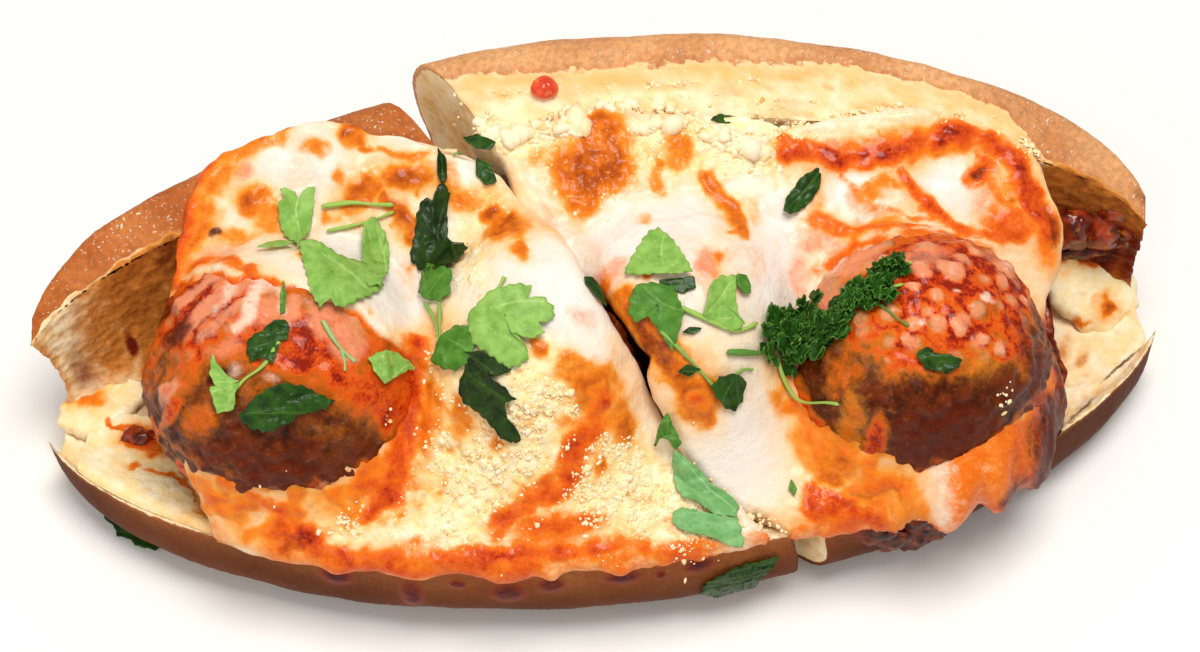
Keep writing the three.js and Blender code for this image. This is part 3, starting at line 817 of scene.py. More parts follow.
def meltMasks(key, x, y, z):
    # masks in plan, the painted ones and a glow of oil round the toasted and sauced places
    spot = stacked(x, y, z)
    wx, wy = nudged(spot, x, y, 11, (1.5, 6), (0.55, 1.9))
    paints = meltPaint[key]
    found = {name: marks(wx, wy, paint) for name, paint in paints.items()}
    broad, speck = noise(spot, 11, 15), noise(spot, 2.6, 16)
    bare, uneven = 1 - found["milk"], 0.8 + 0.5 * speck
    halo = np.maximum(*(marks(wx, wy, paints[k], 2.1, 2.4) for k in ("toast", "sauce")))
    glow = np.clip(0.9 * halo * (0.5 + 0.5 * bare) + 0.25 * blend(0.0, 0.6, broad) * bare, 0, 1)
    found["glow"] = glow * (1 - 0.6 * found["grain"] * blend(0.2, -0.3, speck))
    found["toast"] = np.clip(found["toast"] * (0.85 + 0.3 * speck) + 0.22 * blend(0.1, 0.7, broad)
                             + 0.3 * blend(0.45, 0.8, speck) * bare, 0, 1)
    found["sauce"] = np.clip(found["sauce"] * (0.8 + 0.4 * noise(spot, 3.4, 17)), 0, 1)
    for name, ball in balls.items():  # oil and sauce gather where the melt ends on a meatball
        if ball["half"] == key and name.endswith("end"):
            cx, cy = fromRoll(halves[key], *ball["at"][:2])
            out = np.hypot((x - cx) / ball["radii"][0], (y - cy) / ball["radii"][1])
            rim = np.exp(-(coverOf(name, x, y) / 1.1) ** 2) * blend(1.12, 0.96, out)
            low = np.exp(-((out - 1.1) / 0.17) ** 2) * blend(4, -8, y - cy)
            low = low * blend(-0.35, 0.4, noise(spot, 5, 18))
            near = np.exp(-((out - 1.05) / 0.26) ** 2) * blend(10, -4, y - cy)
            for k, strength in (("sauce", (0.6 * rim + 0.5 * low * bare) * uneven),
                                ("toast", 0.8 * low * bare * uneven),
                                ("glow", 0.9 * near * (0.3 + 0.7 * bare)),
                                ("pink", 0.3 * blend(0.0, 1.0, rim))):
                found[k] = np.maximum(found[k], strength)
    return found


def meltRelief(seed):
    def relief(points, values):
        # soft folds, lumps where it is granular, blisters where toasted and ridges of sauce
        soft = waves(points, (0.85, 15, seed), (0.55, 6.5, seed + 1), (0.2, 2.4, seed + 2))
        lumps = (1.25 * (0.5 - cellNoise(points, 2.3, seed + 3)[0]) + 0.35 * noise(points, 0.7, seed + 8)
                 + 0.6 * (0.48 - cellNoise(points, 1.15, seed + 4)[0]))
        rough = np.clip(values["grain"] * (0.8 + 0.6 * noise(points, 4, seed + 5)), 0, 1)
        blister = blend(0.25, 0.85, values["toast"]) * (0.45 + 0.35 * noise(points, 1.8, seed + 6))
        ridge = 0.9 * values["sauce"] * (1 + 0.5 * noise(points, 2.8, seed + 7))
        calm = 1 - 0.6 * np.clip(values["wet"], 0, 1)
        # painted shade in the creases between granular lumps
        values["crease"] = blend(0.0, -0.55, lumps) * rough
        height = soft * calm + lumps * rough + 0.7 * blister + 0.8 * ridge - 0.8 * values["char"]
        return height * blend(-0.02, 0.0, -values["under"])
    return relief


meltLook = {
    "milk": ("#F2E2CE", "#F3DCBC"),
    "cream": ("#FFF2CC", "#FFE2A0"),
    # the crease colour is painted shade between lumps, and is also used for a random mottle
    "crease": "#FACB84",
    "speck": "#E9A268",
    "white": ((0, "#EBDBC8"), (1, "#EFE7DD")),
    "glow": ((0, "#FFE2A4"), (.5, "#FCC068"), (1, "#F2963A")),
    "pink": ((0, "#F8D4B0"), (.5, "#F2A67C"), (1, "#E07850")),
    "toast": ((0, "#FCC46A"), (.3, "#F29A30"), (.65, "#DC6E10"), (1, "#A8480A")),
    "sauce": ((0, "#FAA83E"), (.3, "#F0801C"), (.6, "#DE5A12"), (.85, "#BC380C"), (1, "#8A1E08")),
    "char": ((0, "#98400C"), (.5, "#621E08"), (1, "#2C0C04")),
    "meat": ("#6E2C0C", "#3E1403"),
    "meatPale": "#A05626",
    # the darkest meat colour is painted shade in the hollows of the mince
    "meatHollowShade": "#260B04",
    "veil": ((0, "#EDB898"), (.6, "#F6D6BC"), (1, "#FBE8D6")),
}
# coats that melt and meatballs share, each with the mask that says where it lies
meltCoats = {
    "glow": {"mask": "glow", "size": 4.0, "ragged": 0.5, "edge": (0.05, 0.9), "rough": 0.34, "cover": 0.75},
    "white": {"mask": "milk", "size": 3.0, "ragged": 0.45, "edge": (0.1, 0.6), "rough": 0.26},
    "pink": {"mask": "pink", "size": 2.4, "ragged": 0.6, "edge": (0.1, 0.8), "rough": 0.26, "cover": 0.9},
    "toast": {"mask": "toast", "size": 2.6, "ragged": 0.55, "edge": (0.06, 0.48), "rough": 0.34},
    "sauce": {"mask": "sauce", "size": 2.2, "ragged": 0.6, "edge": (0.06, 0.42), "rough": 0.32},
    "char": {"mask": "char", "size": 1.4, "ragged": 0.6, "edge": (0.15, 0.75), "rough": 0.4, "cover": 0.92},
}


def coatsOf(order, **changes):  # the coats in this order, some of their values changed
    return [{"tones": meltLook[k], **meltCoats[k], **changes.get(k, {})} for k in order]


def cheeseMaterial():
    # mozzarella melted and blistered under the grill, with grated hard cheese baked on and sauce oil in it,
    # and painted shade in the creases of its granular parts
    material, tree = newMaterial(
        "mozzarella, melted and blistered", Subsurface_Weight=0.08, Subsurface_Scale=0.0025, IOR=1.44,
        Subsurface_Radius=(1.0, 0.65, 0.35), Specular_IOR_Level=0.08, Coat_Weight=0.22, Coat_Roughness=0.1)
    look = meltLook
    cream = layered(tree, look["cream"][0], (speckle(tree, 3, 3, low=0.35, high=0.68), look["cream"][1]))
    granular = add(tree, "MapRange", smooth, Value="grain", From_Min=0.15, From_Max=0.7)
    base = layered(tree, look["milk"][0], (speckle(tree, 7, 3, low=0.35, high=0.65), look["milk"][1]),
                   (granular, cream), ("crease", look["crease"]),
                   (speckle(tree, 2.2, 5, 0.7, 0.5, 0.75, 0.4), look["crease"]))
    colour, gloss = paintOver(tree, base, 0.4, coatsOf(("white", "glow", "pink", "toast", "sauce", "char")))
    colour = layered(tree, colour, (speckle(tree, 1.7, 5, 0.75, 0.55, 0.8, 0.3), look["speck"]))
    gloss = add(tree, "Mix", single, Factor="wet", i2=gloss, i3=0.12)
    return finished(material, [(0.5, 0.1), (1.3, 0.22)], Base_Color=colour, Roughness=gloss)


def skinPlan(key, rows, cols):  # the net of a cheese skin in plan, its first row along the roll's rim
    half, skin = halves[key], skins[key]
    rimX = np.linspace(*(toRoll(half, x, -40)[0] for x in skin["rim"]), 24)
    rimLine = stacked(*fromRoll(half, rimX, frontOf(half, rimX) + 2))
    first, last = (skin["end"], skin["seam"]) if key == "left" else (skin["seam"], skin["end"])
    first, last = [rimLine[0]] + first[1:], [rimLine[-1]] + last[1:]
    return netBetween(rimLine, skin["back"], first, last, rows, cols)


def skinApron(key, x, y, z, along):
    # the part that hangs over the rim follows the crust down and thins away, longer at each drip
    half, skin = halves[key], skins[key]
    rx, _ = toRoll(half, x, y)
    girth = np.interp(half["side"] * rx, half["stations"], runAlong(half["crust"], 1)[:, -1])
    hang = skin["hang"] * (1 + waves(stacked(x, 0, 0), (0.35, 9, 21), (0.2, 3.5, 22)))
    for at, length, width in skin["drips"]:
        hang = hang + length * np.exp(-((x - at) / width) ** 2)
    hang = 0.8 + hang * blend(0, 5, along) * blend(0, 5, along[-1] - along)
    down = np.sin(np.linspace(1, 0, 15)[:-1] * math.pi / 2)[:, None] * hang
    at, ahead = (sheetAt(half, "crust", rx, (down + far) / girth) for far in (0, 1))
    run = (ahead - at) / np.linalg.norm(ahead - at, axis=-1, keepdims=True)
    out = mix(np.array([0.0, 1.0]), stacked(run[..., 1], -run[..., 0]), np.clip(down / 3, 0, 1)[..., None])
    out /= np.linalg.norm(out, axis=-1, keepdims=True)
    deep = z - sheetAt(half, "crust", rx, 0 * rx)[..., 1]
    apron = at + out * (deep * np.sqrt(np.maximum(1 - (down / hang) ** 2, 0)) - 0.15)[..., None]
    return stacked(*fromRoll(half, rx, apron[..., 0]), apron[..., 1]), down


def cheeseSkin(key, material):
    # a net in plan lifted to the melt's height, its brim rounded down, with an apron over the front
    # rim, closed underneath by rings
    rows, cols = ((200, 300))
    plan = skinPlan(key, rows, cols)
    x, y = plan[..., 0], plan[..., 1]
    along, up = runAlong(plan, 1), runAlong(plan, 0)
    edge = np.minimum(np.minimum(along, along[:, -1:] - along), up[-1:] - up)
    z = meltHeight(key, x, y) - 2 * (1 - np.sqrt(np.maximum(1 - np.maximum(1 - edge / 2.2, 0) ** 2, 0)))
    apron, down = skinApron(key, x[0], y[0], z[0], along[0])
    top = np.concatenate([apron, stacked(x, y, z)])
    looked = np.concatenate([y[0] - 0.8 * down, y])  # the apron takes its marks from further out
    masks = meltMasks(key, top[..., 0], looked, top[..., 2])
    masks["under"] = 0.0
    fromRim = np.concatenate([np.zeros(len(down)), up[:, 0]])[:, None]
    brim = 0.7 * np.exp(-(fromRim / 1.1) ** 2) * (0.55 + 0.8 * noise(stacked(top[..., 0], 0, 0), 9, 24))
    masks["sauce"] = np.clip(np.maximum(masks["sauce"], brim), 0, 1)

    # the edge turns in under the skin: less far where it lies on the rim
    onRim = np.repeat([1.0, 0.0, 0.0, 0.0, 1.0], [cols - 1, len(top) - 1, cols - 1, len(top) - 1, 1])
    rings = [(mix(0.4, 1.6, onRim), mix(3.0, 0.2, onRim)), (mix(1.6, 4, onRim), mix(5.5, 1.5, onRim)),
             (mix(5, 8, onRim), mix(8, 3, onRim))]
    under = closeUnder(top, rings, np.array([np.mean(x), np.mean(y), 24]))
    below = meltMasks(key, *np.moveaxis(under, -1, 0))
    below["under"] = np.minimum(np.arange(len(under)), 1.0)[:, None]
    return gridPiece("melt_" + key, [top, under], [masks, below], material, "cheese",
                     stands=["cheese_" + key], relief=meltRelief(30 if key == "left" else 50))


cheeseStuff = cheeseMaterial()
for key in halves:
    surfaces["melt_" + key] = cheeseSkin(key, cheeseStuff)
print("melted cheese made")


# Meatballs: fine-minced balls, browned, with the melt's juices baked over them

ballPaint = {
    "meatball_left_end": {
        "sauce": {
            "spots": [(-66, -3, 15, 9, 0, .6), (-52, -14, 9, 9, -30, .55), (-64, -20, 12, 4, 0, .3),
                (-74, -5, 5, 6, 0, .85), (-71.5, -7, 3, 2, 0, 1), (-73, -11, 3, 2, 0, .8),
                (-54, -11, 3, 4, 0, 1), (-55, -15, 3.4, 3, 0, 1), (-49, -18, 2.6, 3, 0, .9),
                (-43, -13, 3.4, 5, 0, .6), (-39, -7, 4, 6, 0, .55), (-46, -22, 3, 3, 0, .75),
                (-42.5, -22.5, 2, 2, 0, 1), (-79, -18, 2.8, 1.5, 0, .8), (-74, -22, 4, 2, 0, .7),
                (-66, -28, 5, 3, 0, .5), (-50, -27, 5, 3, 0, .75), (-60, 3, 8, 4, 0, .5),
                (-83, -4, 2, 8, 0, .5), (-71, -1, 12, 8, 0, .85), (-53, -13, 12, 5, 0, .8),
                (-63, -11, 11, 4, 0, .65), (-43, -20, 8, 4, 0, .75), (-76, -13, 4, 5, 0, .5),
                (-37, -14, 3, 9, 0, .7)],
            "streaks": [(1, .9, [(-79, 5), (-74, 9), (-66, 10)])],
        },
        "toast": {"spots": [(-70, 2, 6, 3, 0, .6), (-46, -6, 4, 6, 0, .4), (-56, -25, 4, 2, 0, .5)]},
        "pink": {
            "spots": [(-49, -8, 4, 3.4, 0, .9), (-47, -12, 3, 3, 0, .8), (-79, -15, 2.4, 1.6, 0, .9),
                (-60, -7, 4, 3, 0, .5), (-68, -12, 3, 2, 0, .4), (-62, 8, 8, 3, 0, .8)],
            "streaks": [(1.2, .75, [(-60, 2), (-66, 0), (-74, -4)]), (1, .6, [(-58, -1), (-64, -4),
                (-72, -8)]), (1, .7, [(-62, 5), (-70, 4), (-77, 1)]), (.9, .6, [(-55, -5), (-57, -10),
                (-61, -14)])],
        },
        "milk": {
            "spots": [(-56, 2, 5.6, 3.6, 10, .9), (-61, -18, 1.8, 1.2, 0, .35),
                (-67, -16, 1.8, 1.4, 0, .35), (-58, 9, 5, 2.6, 0, .9), (-49, -2, 3, 3, 0, .6)],
            "streaks": [(1.1, .6, [(-62, 3), (-62, -2), (-63, -6), (-66, -9)]), (.9, .45, [(-66, 1),
                (-68, -3), (-70, -4)]), (.8, .45, [(-58, -3), (-57, -7)])],
        },
        "char": {
            "spots": [(-77, -5, 3, 3, 0, .75), (-79.5, 2, 2.2, 3, 0, .7), (-84, -8, 2, 6, 0, .4),
                (-70, -26, 9, 3, -10, .35), (-62, -31, 9, 3, 0, .55), (-48, -29, 5, 3, 20, .5),
                (-75, -19, 3, 2, 0, .3)],
        },
        "bubbles": (-68, -2, 15, 11, .45),
    },
    "meatball_right_end": {
        "sauce": {
            "spots": [(58, -12, 17, 12, 0, .66), (71, -20, 3, 7, 0, .75), (56, -24, 12, 5, 0, .55),
                (48, -20, 4, 6, 0, .5), (63, -22, 5, 5, 0, .55), (45, -35, 2, 1.8, 0, .9),
                (50, -26, 5, 3, 0, .55), (72, -12, 5, 5, 0, .8), (44, -16, 5, 8, 0, .5),
                (60, 0, 9, 4, 0, .6), (40, -26, 3, 4, 0, .4)],
            "streaks": [(.8, .8, [(64, 3), (69, -1), (75, -5)]), (.6, .6, [(66, -13), (68, -17),
                (71, -22)])],
        },
        "toast": {
            "spots": [(54, -20, 12, 8, 0, .4), (64, -27, 5, 4, 0, .4), (41, -32, 2, 3, 0, .6),
                (46, -6, 6, 6, 0, .5)],
        },
        "pink": {
            "spots": [(44, -1, 6, 6, 0, .8), (56, -8, 5, 3, 0, .4), (70, -6, 4, 3, 0, .4),
                (38, -10, 3, 8, 0, .7)],
        },
        "milk": {
            "spots": [(66.5, -17.5, 1.4, .8, -30, .7), (54, -21, .7, .6, 0, .6), (40, 0, 4, 5, 0, .6),
                (61, -16, .9, .6, 0, .5)],
        },
        "char": {
            "spots": [(78, -13, 2, 9, 0, .6), (74, -25, 3, 6, 20, .6), (58, -37, 13, 4, 0, .6),
                (66, -31, 6, 3, 0, .35), (46, -31, 5, 3, 0, .3), (56, -30, 6, 2, 0, .3)],
        },
        "rings": [(56, -10, 2.1), (61, -12, 2.5), (71, -9, 3.3), (60, -23, 1.7), (64, -24, 1.7),
            (68, -26, 1.3), (50, -7, 1.8), (47, -13, 1.6), (53, -15, 1.4), (66, -6, 2), (74, -15, 1.6),
            (51, -24, 1.2)],
        "bubbles": (58, -12, 18, 15, .8),
    },
}


def meatMaterial():
    # fine-minced beef browned in the oven, under a skin of cheese oil, sauce and bubbles; shade is painted
    # into its hollows and below its waist, and highlight onto its bubbles
    material, tree = newMaterial(
        "minced beef, browned and glazed with melt", Subsurface_Weight=0.03, Subsurface_Scale=0.001, IOR=1.4,
        Specular_IOR_Level=0.05, Coat_Weight=0.2, Coat_Roughness=0.12)
    look = meltLook
    # browned mince, with painted shade in its hollows
    base = layered(tree, look["meat"][0], (speckle(tree, 2.6, 4, 0.65, 0.35, 0.65), look["meat"][1]),
                   (speckle(tree, 1.5, 3, 0.6, 0.56, 0.72, 0.55), look["meatPale"]),
                   ("deep", look["meatHollowShade"]))
    coats = coatsOf(("toast", "sauce", "pink", "white", "char"),
                    white={"tones": look["veil"], "size": 1.6, "ragged": 0.7, "cover": 0.85},
                    toast={"size": 1.8, "ragged": 0.85, "edge": (0.1, 0.75)},
                    sauce={"size": 1.7, "ragged": 0.8, "edge": (0.08, 0.7)})
    colour, gloss = paintOver(tree, base, 0.36, coats)
    return finished(material, [(0.6, 0.16), (1.5, 0.32)], Base_Color=colour, Roughness=gloss)


def ballGrid(rows, cols):  # a ball of two angles: rings from pole to pole
    lat = np.linspace(-math.pi / 2, math.pi / 2, rows)[:, None]
    lon = np.linspace(0, 2 * math.pi, cols)
    way = stacked(np.cos(lat) * np.cos(lon), np.cos(lat) * np.sin(lon), np.sin(lat))
    way[:, -1] = way[:, 0]
    way[0], way[-1] = way[0, 0], way[-1, 0]
    return way


def ballMasks(name, spot):
    # painted marks fade below the waist, where painted shade darkens the ball; cheese has risen in bubbles,
    # with sauce between them and a painted highlight on their tops
    paint = ballPaint[name]
    x, y, z = np.moveaxis(spot, -1, 0)
    wx, wy = nudged(spot, x, y, 61, (1.1, 5), (0.5, 1.7))
    bx, by, length, width, strength = paint["bubbles"]
    zone = spots(wx, wy, [(bx, by, length, width, 0, strength)])
    near, second = cellNoise(spot, 4.2, 65)
    bubble, edge = blend(0.52, 0.25, near) * zone, blend(0.22, 0.02, second - near) * zone
    for rx, ry, size in paint.get("rings", ()):
        out = np.hypot(wx - rx, wy - ry) / size
        bubble = np.maximum(bubble, blend(1.0, 0.4, out))
        edge = np.maximum(edge * blend(0.4, 1.2, out), np.exp(-((out - 1.05) / 0.28) ** 2))
    upper = blend(25, 38, z)
    masks = {k: marks(wx, wy, paint[k]) * upper for k in ("sauce", "toast", "pink", "milk")}
    # pink and pale tops on the bubbles: partly cheese, partly painted highlight
    masks["pink"] = np.maximum(masks["pink"], 0.8 * bubble * upper)
    masks["milk"] = np.maximum(masks["milk"], 0.3 * blend(0.75, 1, bubble) * upper)
    masks["sauce"] = np.clip(masks["sauce"] * (1 - 0.7 * bubble) + 0.6 * edge * upper, 0, 1)
    # the char mask also darkens the ball below its waist: painted shade
    masks["char"] = np.maximum(marks(wx, wy, paint["char"]), 0.7 * blend(36, 22, z))
    if name == "meatball_left_end":  # browner and barer towards the front
        # barer of sauce and cheese towards the front, and darker there with painted shade through the char
        # mask
        bareShadedFront = blend(-19, -28, y + 2.5 * noise(spot, 6, 71))
        for k in ("sauce", "toast", "pink"):
            masks[k] = masks[k] * (1 - 0.8 * bareShadedFront)
        masks["char"] = np.maximum(masks["char"], 0.5 * bareShadedFront * (0.8 + 0.5 * noise(spot, 4, 72)))
    patchy = blend(20, 28, z) * blend(44, 36, z)  # sauce and cheese caught on the bare side
    masks["sauce"] = np.maximum(masks["sauce"], 0.8 * patchy * blend(0.0, 0.4, noise(spot, 4.2, 73)))
    masks["pink"] = np.maximum(masks["pink"], 0.5 * patchy * blend(0.35, 0.6, noise(spot, 3.2, 74)))
    masks["swollen"] = bubble * upper
    return masks


def minceRelief(points, values):  # grains of mince, half filled where there is sauce or cheese on them
    film = np.clip(values["sauce"] + values["pink"] + values["milk"], 0, 1)
    mince = (1.2 * (0.5 - cellNoise(points, 3.4, 66)[0]) + 0.65 * (0.5 - cellNoise(points, 1.7, 67)[0])
             + 0.5 * noise(points, 5, 68))
    # painted shade in the hollows between the grains, less where sauce or cheese fills them
    values["deep"] = blend(-0.1, -0.7, mince) * (1 - 0.7 * film)
    soft = waves(points, (0.35, 4, 69), (0.2, 1.6, 70))
    return mix(mince, 0.6 * mince + soft, film) + 0.95 * values["swollen"] + 0.3 * values["sauce"]


def meatball(name, ball, material):
    # a ball stretched to its radii, swollen and dented by slow waves; what would pass the knife's
    # plane is pressed flat against it
    half = halves[ball["half"]]
    shown = name in ballPaint
    way = np.roll(ballGrid(*((110, 180) if shown else (60, 90))), 1, axis=-1)
    t = ball["turn"]
    swell = (0.03 * np.sin(3.1 * way[..., 0] + t) * np.cos(3.7 * way[..., 1] - t)
             + 0.02 * np.sin(6.3 * way[..., 1] + 2 * t) * np.sin(5.9 * way[..., 2] + 1.7 * t))
    x, y, z = np.moveaxis(ball["at"] + np.array(ball["radii"]) * way * (1 + swell[..., None]), -1, 0)
    cut, slope = half["press"]
    plane = cut + slope * y + half["side"] * 1.2
    x = np.minimum(x, plane) if half["side"] < 0 else np.maximum(x, plane)
    spot = stacked(*fromRoll(half, x, y), z)
    still = dict.fromkeys(("sauce", "toast", "pink", "milk", "char", "swollen"), 0.0)
    masks = ballMasks(name, spot) if shown else still
    return gridPiece(name.replace("meatball", "ball"), [spot], [masks], material, "meatball", stands=[name],
                     relief=minceRelief)


meatStuff = meatMaterial()
for name, ball in balls.items():
    surfaces[name] = meatball(name, ball, meatStuff)
print("meatballs made")


# Sauce lying in the valley of the crumb, seen at the ends and down the cut

sauceLook = {"baked": {"thin": "#A83C16", "thick": "#541608", "gold": "#D07A2C"},
             "fresh": {"thin": "#E8562E", "thick": "#C83A1C", "gold": "#F29A5C"}}


def sauceMaterial(name, tones):
    # chunky tomato sauce, cooked down and oily: dark red lumps with an orange edge
    material, tree = newMaterial(
        name, Subsurface_Weight=0.15, Subsurface_Scale=0.002, IOR=1.4, Roughness=0.25,
        Specular_IOR_Level=0.3, Coat_Weight=0.4, Coat_Roughness=0.12)
    colour = layered(tree, tones["thin"], (speckle(tree, 3.4, 4, 0.6, 0.35, 0.62), tones["thick"]),
                     (speckle(tree, 2.2, 3, low=0.6, high=0.72, most=0.6), tones["gold"]))
    return finished(material, [(0.8, 0.1), (2.0, 0.25)], Base_Color=colour)


def sauceRelief(points, values):  # lumps and waves on the top only
    return values["top"] * (1.8 * (0.5 - cellNoise(points, 4.5, 71)[0]) + 0.6 * noise(points, 2.2, 72))


def valleySauce(key, ends, material):
    # a slab whose top sags between the crumb's slopes, closed by walls and a flat floor
    half = halves[key]
    v, u = np.linspace(0, 1, 60)[:, None], np.linspace(0, 1, 160)
    rx = mix(*ends, u)
    ry = mix(-21, 15, v) * taper(rx) ** 0.7
    limit = half["cut"][0] + half["cut"][1] * ry
    rx = np.minimum(rx, limit - 0.4) if half["side"] < 0 else np.maximum(rx, limit + 0.4)
    z = (17.5 - 3 * np.sin(math.pi * v) - 2.5 * (1 - taper(rx))
         + 0.5 * np.sin(0.21 * rx) * np.sin(0.4 * ry + 1))
    top = stacked(*fromRoll(half, rx, ry), z)
    low = stacked(top[..., 0], top[..., 1], 9.5)
    walls = [np.stack([top[at], low[at]]) for at in (0, -1, np.s_[:, 0], np.s_[:, -1])]
    masks = [{"top": float(i == 0)} for i in range(6)]
    return gridPiece("sauce_bed_" + key, [top, low] + walls, masks, material, "sauce",
                     stands=["sauce_" + key], relief=sauceRelief)


sauceStuff = sauceMaterial("tomato sauce, baked down and oily", sauceLook["baked"])
for key, ends in (("left", (-84, 16)), ("right", (-12, 86))):
    surfaces["sauce_" + key] = valleySauce(key, ends, sauceStuff)
print("sauce made")


# Height maps of what is laid so far, so that loose things can be put on top of it

mapStep, mapCorner = 0.5, (-112, -56)  # millimetres a cell, and where the first cell is


def around(net):  # a net's nine copies, shifted by one cell each way
    padded = np.pad(net, 1, mode="edge")
    return [padded[i:i + net.shape[0], j:j + net.shape[1]] for i in range(3) for j in range(3)]


def layOn(heights, points):
    # a piece's highest point in every cell, its empty cells filled from their neighbours; then the
    # higher of it and the map
    own = np.full(heights.shape, -1.0)
    cell = np.round((points[:, :2] - mapCorner) / mapStep).astype(int)
    inside = ((cell >= 0) & (cell < own.shape)).all(axis=1)
    np.maximum.at(own, tuple(cell[inside].T), points[inside, 2])
    for _ in range(2):
        own = np.where(own < 0, np.max(around(own), axis=0), own)
    return np.maximum(heights, own)


def heightAt(heights, x, y):  # how high a map is at a place in plan
    return between(heights, (x - mapCorner[0]) / mapStep, (y - mapCorner[1]) / mapStep)


topMap = np.full((450, 226), -1.0)
for points in surfaces.values():
    topMap = layOn(topMap, points)
drape = np.maximum(topMap, 0)  # the same smoothed a little, for leaves that bridge the small dips
for _ in range(3):
    drape = sum(around(drape)) / 9
peaks = topMap  # the same with every peak spread sideways
for _ in range(2):
    peaks = np.max(around(peaks), axis=0)


# Grated hard cheese: crumbs strewn where the melt is granular, in drifts along the lid's lip

crumbLook = {"tones": ((0, "#FCEBC8"), (0.5, "#FBDCA0"), (1, "#F0A656"))}  # pale, gold, toasted
# zones: (x, y, half length, half width, turn, share of the crumbs); grow: how much larger they are;
# sunk: how much of a crumb's size lies in the melt; tone: from 0, pale, to 1, toasted
drifts = {
    "left": {"count": 6500, "seed": 3, "grow": 1, "sunk": .85, "tone": .3, "zones": [
        (-26, -31, 15, 10, 0, .55), (-1, -37, 12, 8, -10, 1.2), (-50, -35, 12, 3.5, -8, .7),
        (-12, -25, 10, 6, 0, .9), (10, -41, 10, 6, -10, 1), (-20, 12, 4, 6, 0, .4),
        (-31, -16, 4, 6, 0, .5), (-39.5, -23, 3, 3, 0, .8), (-24, -41, 18, 2.4, 0, .3),
        (-24, 2, 4, 8, 10, .3), (-41, -21.5, 2, 1.8, 0, .3), (24, -43, 4, 2, -20, .4)]},
    "right": {"count": 7500, "seed": 4, "grow": 1, "sunk": .85, "tone": .3, "zones": [
        (0, 20, 9, 7, 0, .8), (16, 23, 9, 4, 0, 1), (28, 21, 7, 4, 0, 1.2), (-10, 28, 7, 3, -8, 1.4),
        (4, 30, 9, 1.8, 0, .8), (50, -43, 11, 1.6, 0, .35), (36, 24, 6, 3, 0, .8), (60, 25, 14, 2, -8, .5),
        (82, 18, 3.5, 2, 0, .7), (68.5, -32, 2, 2, 0, .25), (20, 33, 40, 5, -2, .25),
        (-8, 27, 8, 2.2, -5, 1.2), (29, 21.5, 5, 2, 0, 1.4)]},
    "lip": {"half": "right", "count": 1300, "seed": 6, "grow": 2.3, "sunk": .15, "tone": .12, "zones": [
        (-13, 28, 6, 2, -5, 1), (-4, 27, 5, 1.6, 0, 1), (11, 26.5, 3, 1.2, 0, 1), (20, 26, 4, 1.2, 0, 1),
        (28, 22.5, 5, 2.2, -10, 1.5), (-16, 31, 3, 2, 0, .8), (2, 31, 8, 1, 0, .3),
        (22, 29.5, 8, 1.2, -5, .4)]},
}


def crumbMaterial():
    # dry gratings of hard cheese, toasted gold at the edges
    material, tree = newMaterial("hard cheese, grated and toasted", IOR=1.45, Roughness=0.5,
                                 Specular_IOR_Level=0.3)
    mottled = add(tree, "Math", timesPlus, i0=speckle(tree, 0.8), i1=0.4, i2=-0.2)
    tone = add(tree, "Math", plus, i0="tone", i1=mottled)
    return finished(material, Base_Color=add(tree, "ValToRGB", crumbLook, Fac=tone))


def looseLumps(name, centres, sizes, tones, material, slot, seed):
    # each lump is a twenty-sided ball, its corners pushed in or out, squashed and turned its own way
    draw = np.random.default_rng(seed)
    g = (1 + math.sqrt(5)) / 2
    corners = np.array([(-1, g, 0), (1, g, 0), (-1, -g, 0), (1, -g, 0), (0, -1, g), (0, 1, g), (0, -1, -g),
                        (0, 1, -g), (g, 0, -1), (g, 0, 1), (-g, 0, -1), (-g, 0, 1)]) / math.hypot(1, g)
    sides = np.array([(0, 11, 5), (0, 5, 1), (0, 1, 7), (0, 7, 10), (0, 10, 11), (1, 5, 9), (5, 11, 4),
                      (11, 10, 2), (10, 7, 6), (7, 1, 8), (3, 9, 4), (3, 4, 2), (3, 2, 6), (3, 6, 8),
                      (3, 8, 9), (4, 9, 5), (2, 4, 11), (6, 2, 10), (8, 6, 7), (9, 8, 1)])
    count = len(centres)
    shape = corners * (1 + 0.28 * draw.uniform(-1, 1, (count, 12, 1)))
    squash = [draw.uniform(low, high, count) for low, high in ((0.8, 1.5), (0.7, 1.1), (0.6, 0.9))]
    shape = shape * stacked(*squash)[:, None]
    turn = draw.normal(size=(count, 4))
    turn = (turn / np.linalg.norm(turn, axis=1, keepdims=True))[:, None]
    shape = shape + 2 * np.cross(turn[..., 1:], np.cross(turn[..., 1:], shape) + turn[..., :1] * shape)
    points = (shape * sizes[:, None, None] + centres[:, None]).reshape(-1, 3)
    faces = (sides + 12 * np.arange(count)[:, None, None]).reshape(-1, 3)
    side = math.ceil(math.sqrt(count))
    cell = stacked(np.arange(count) % side, np.arange(count) // side)[:, None]
    flat = (0.5 + 0.4 * corners[:, :2] * (1 + 0.1 * corners[:, 2:]) + cell) / side
    makePiece(name, points, faces.tolist(), flat.reshape(-1, 2)[faces.ravel()],
              {"tone": np.repeat(tones, 12)}, material, slot)


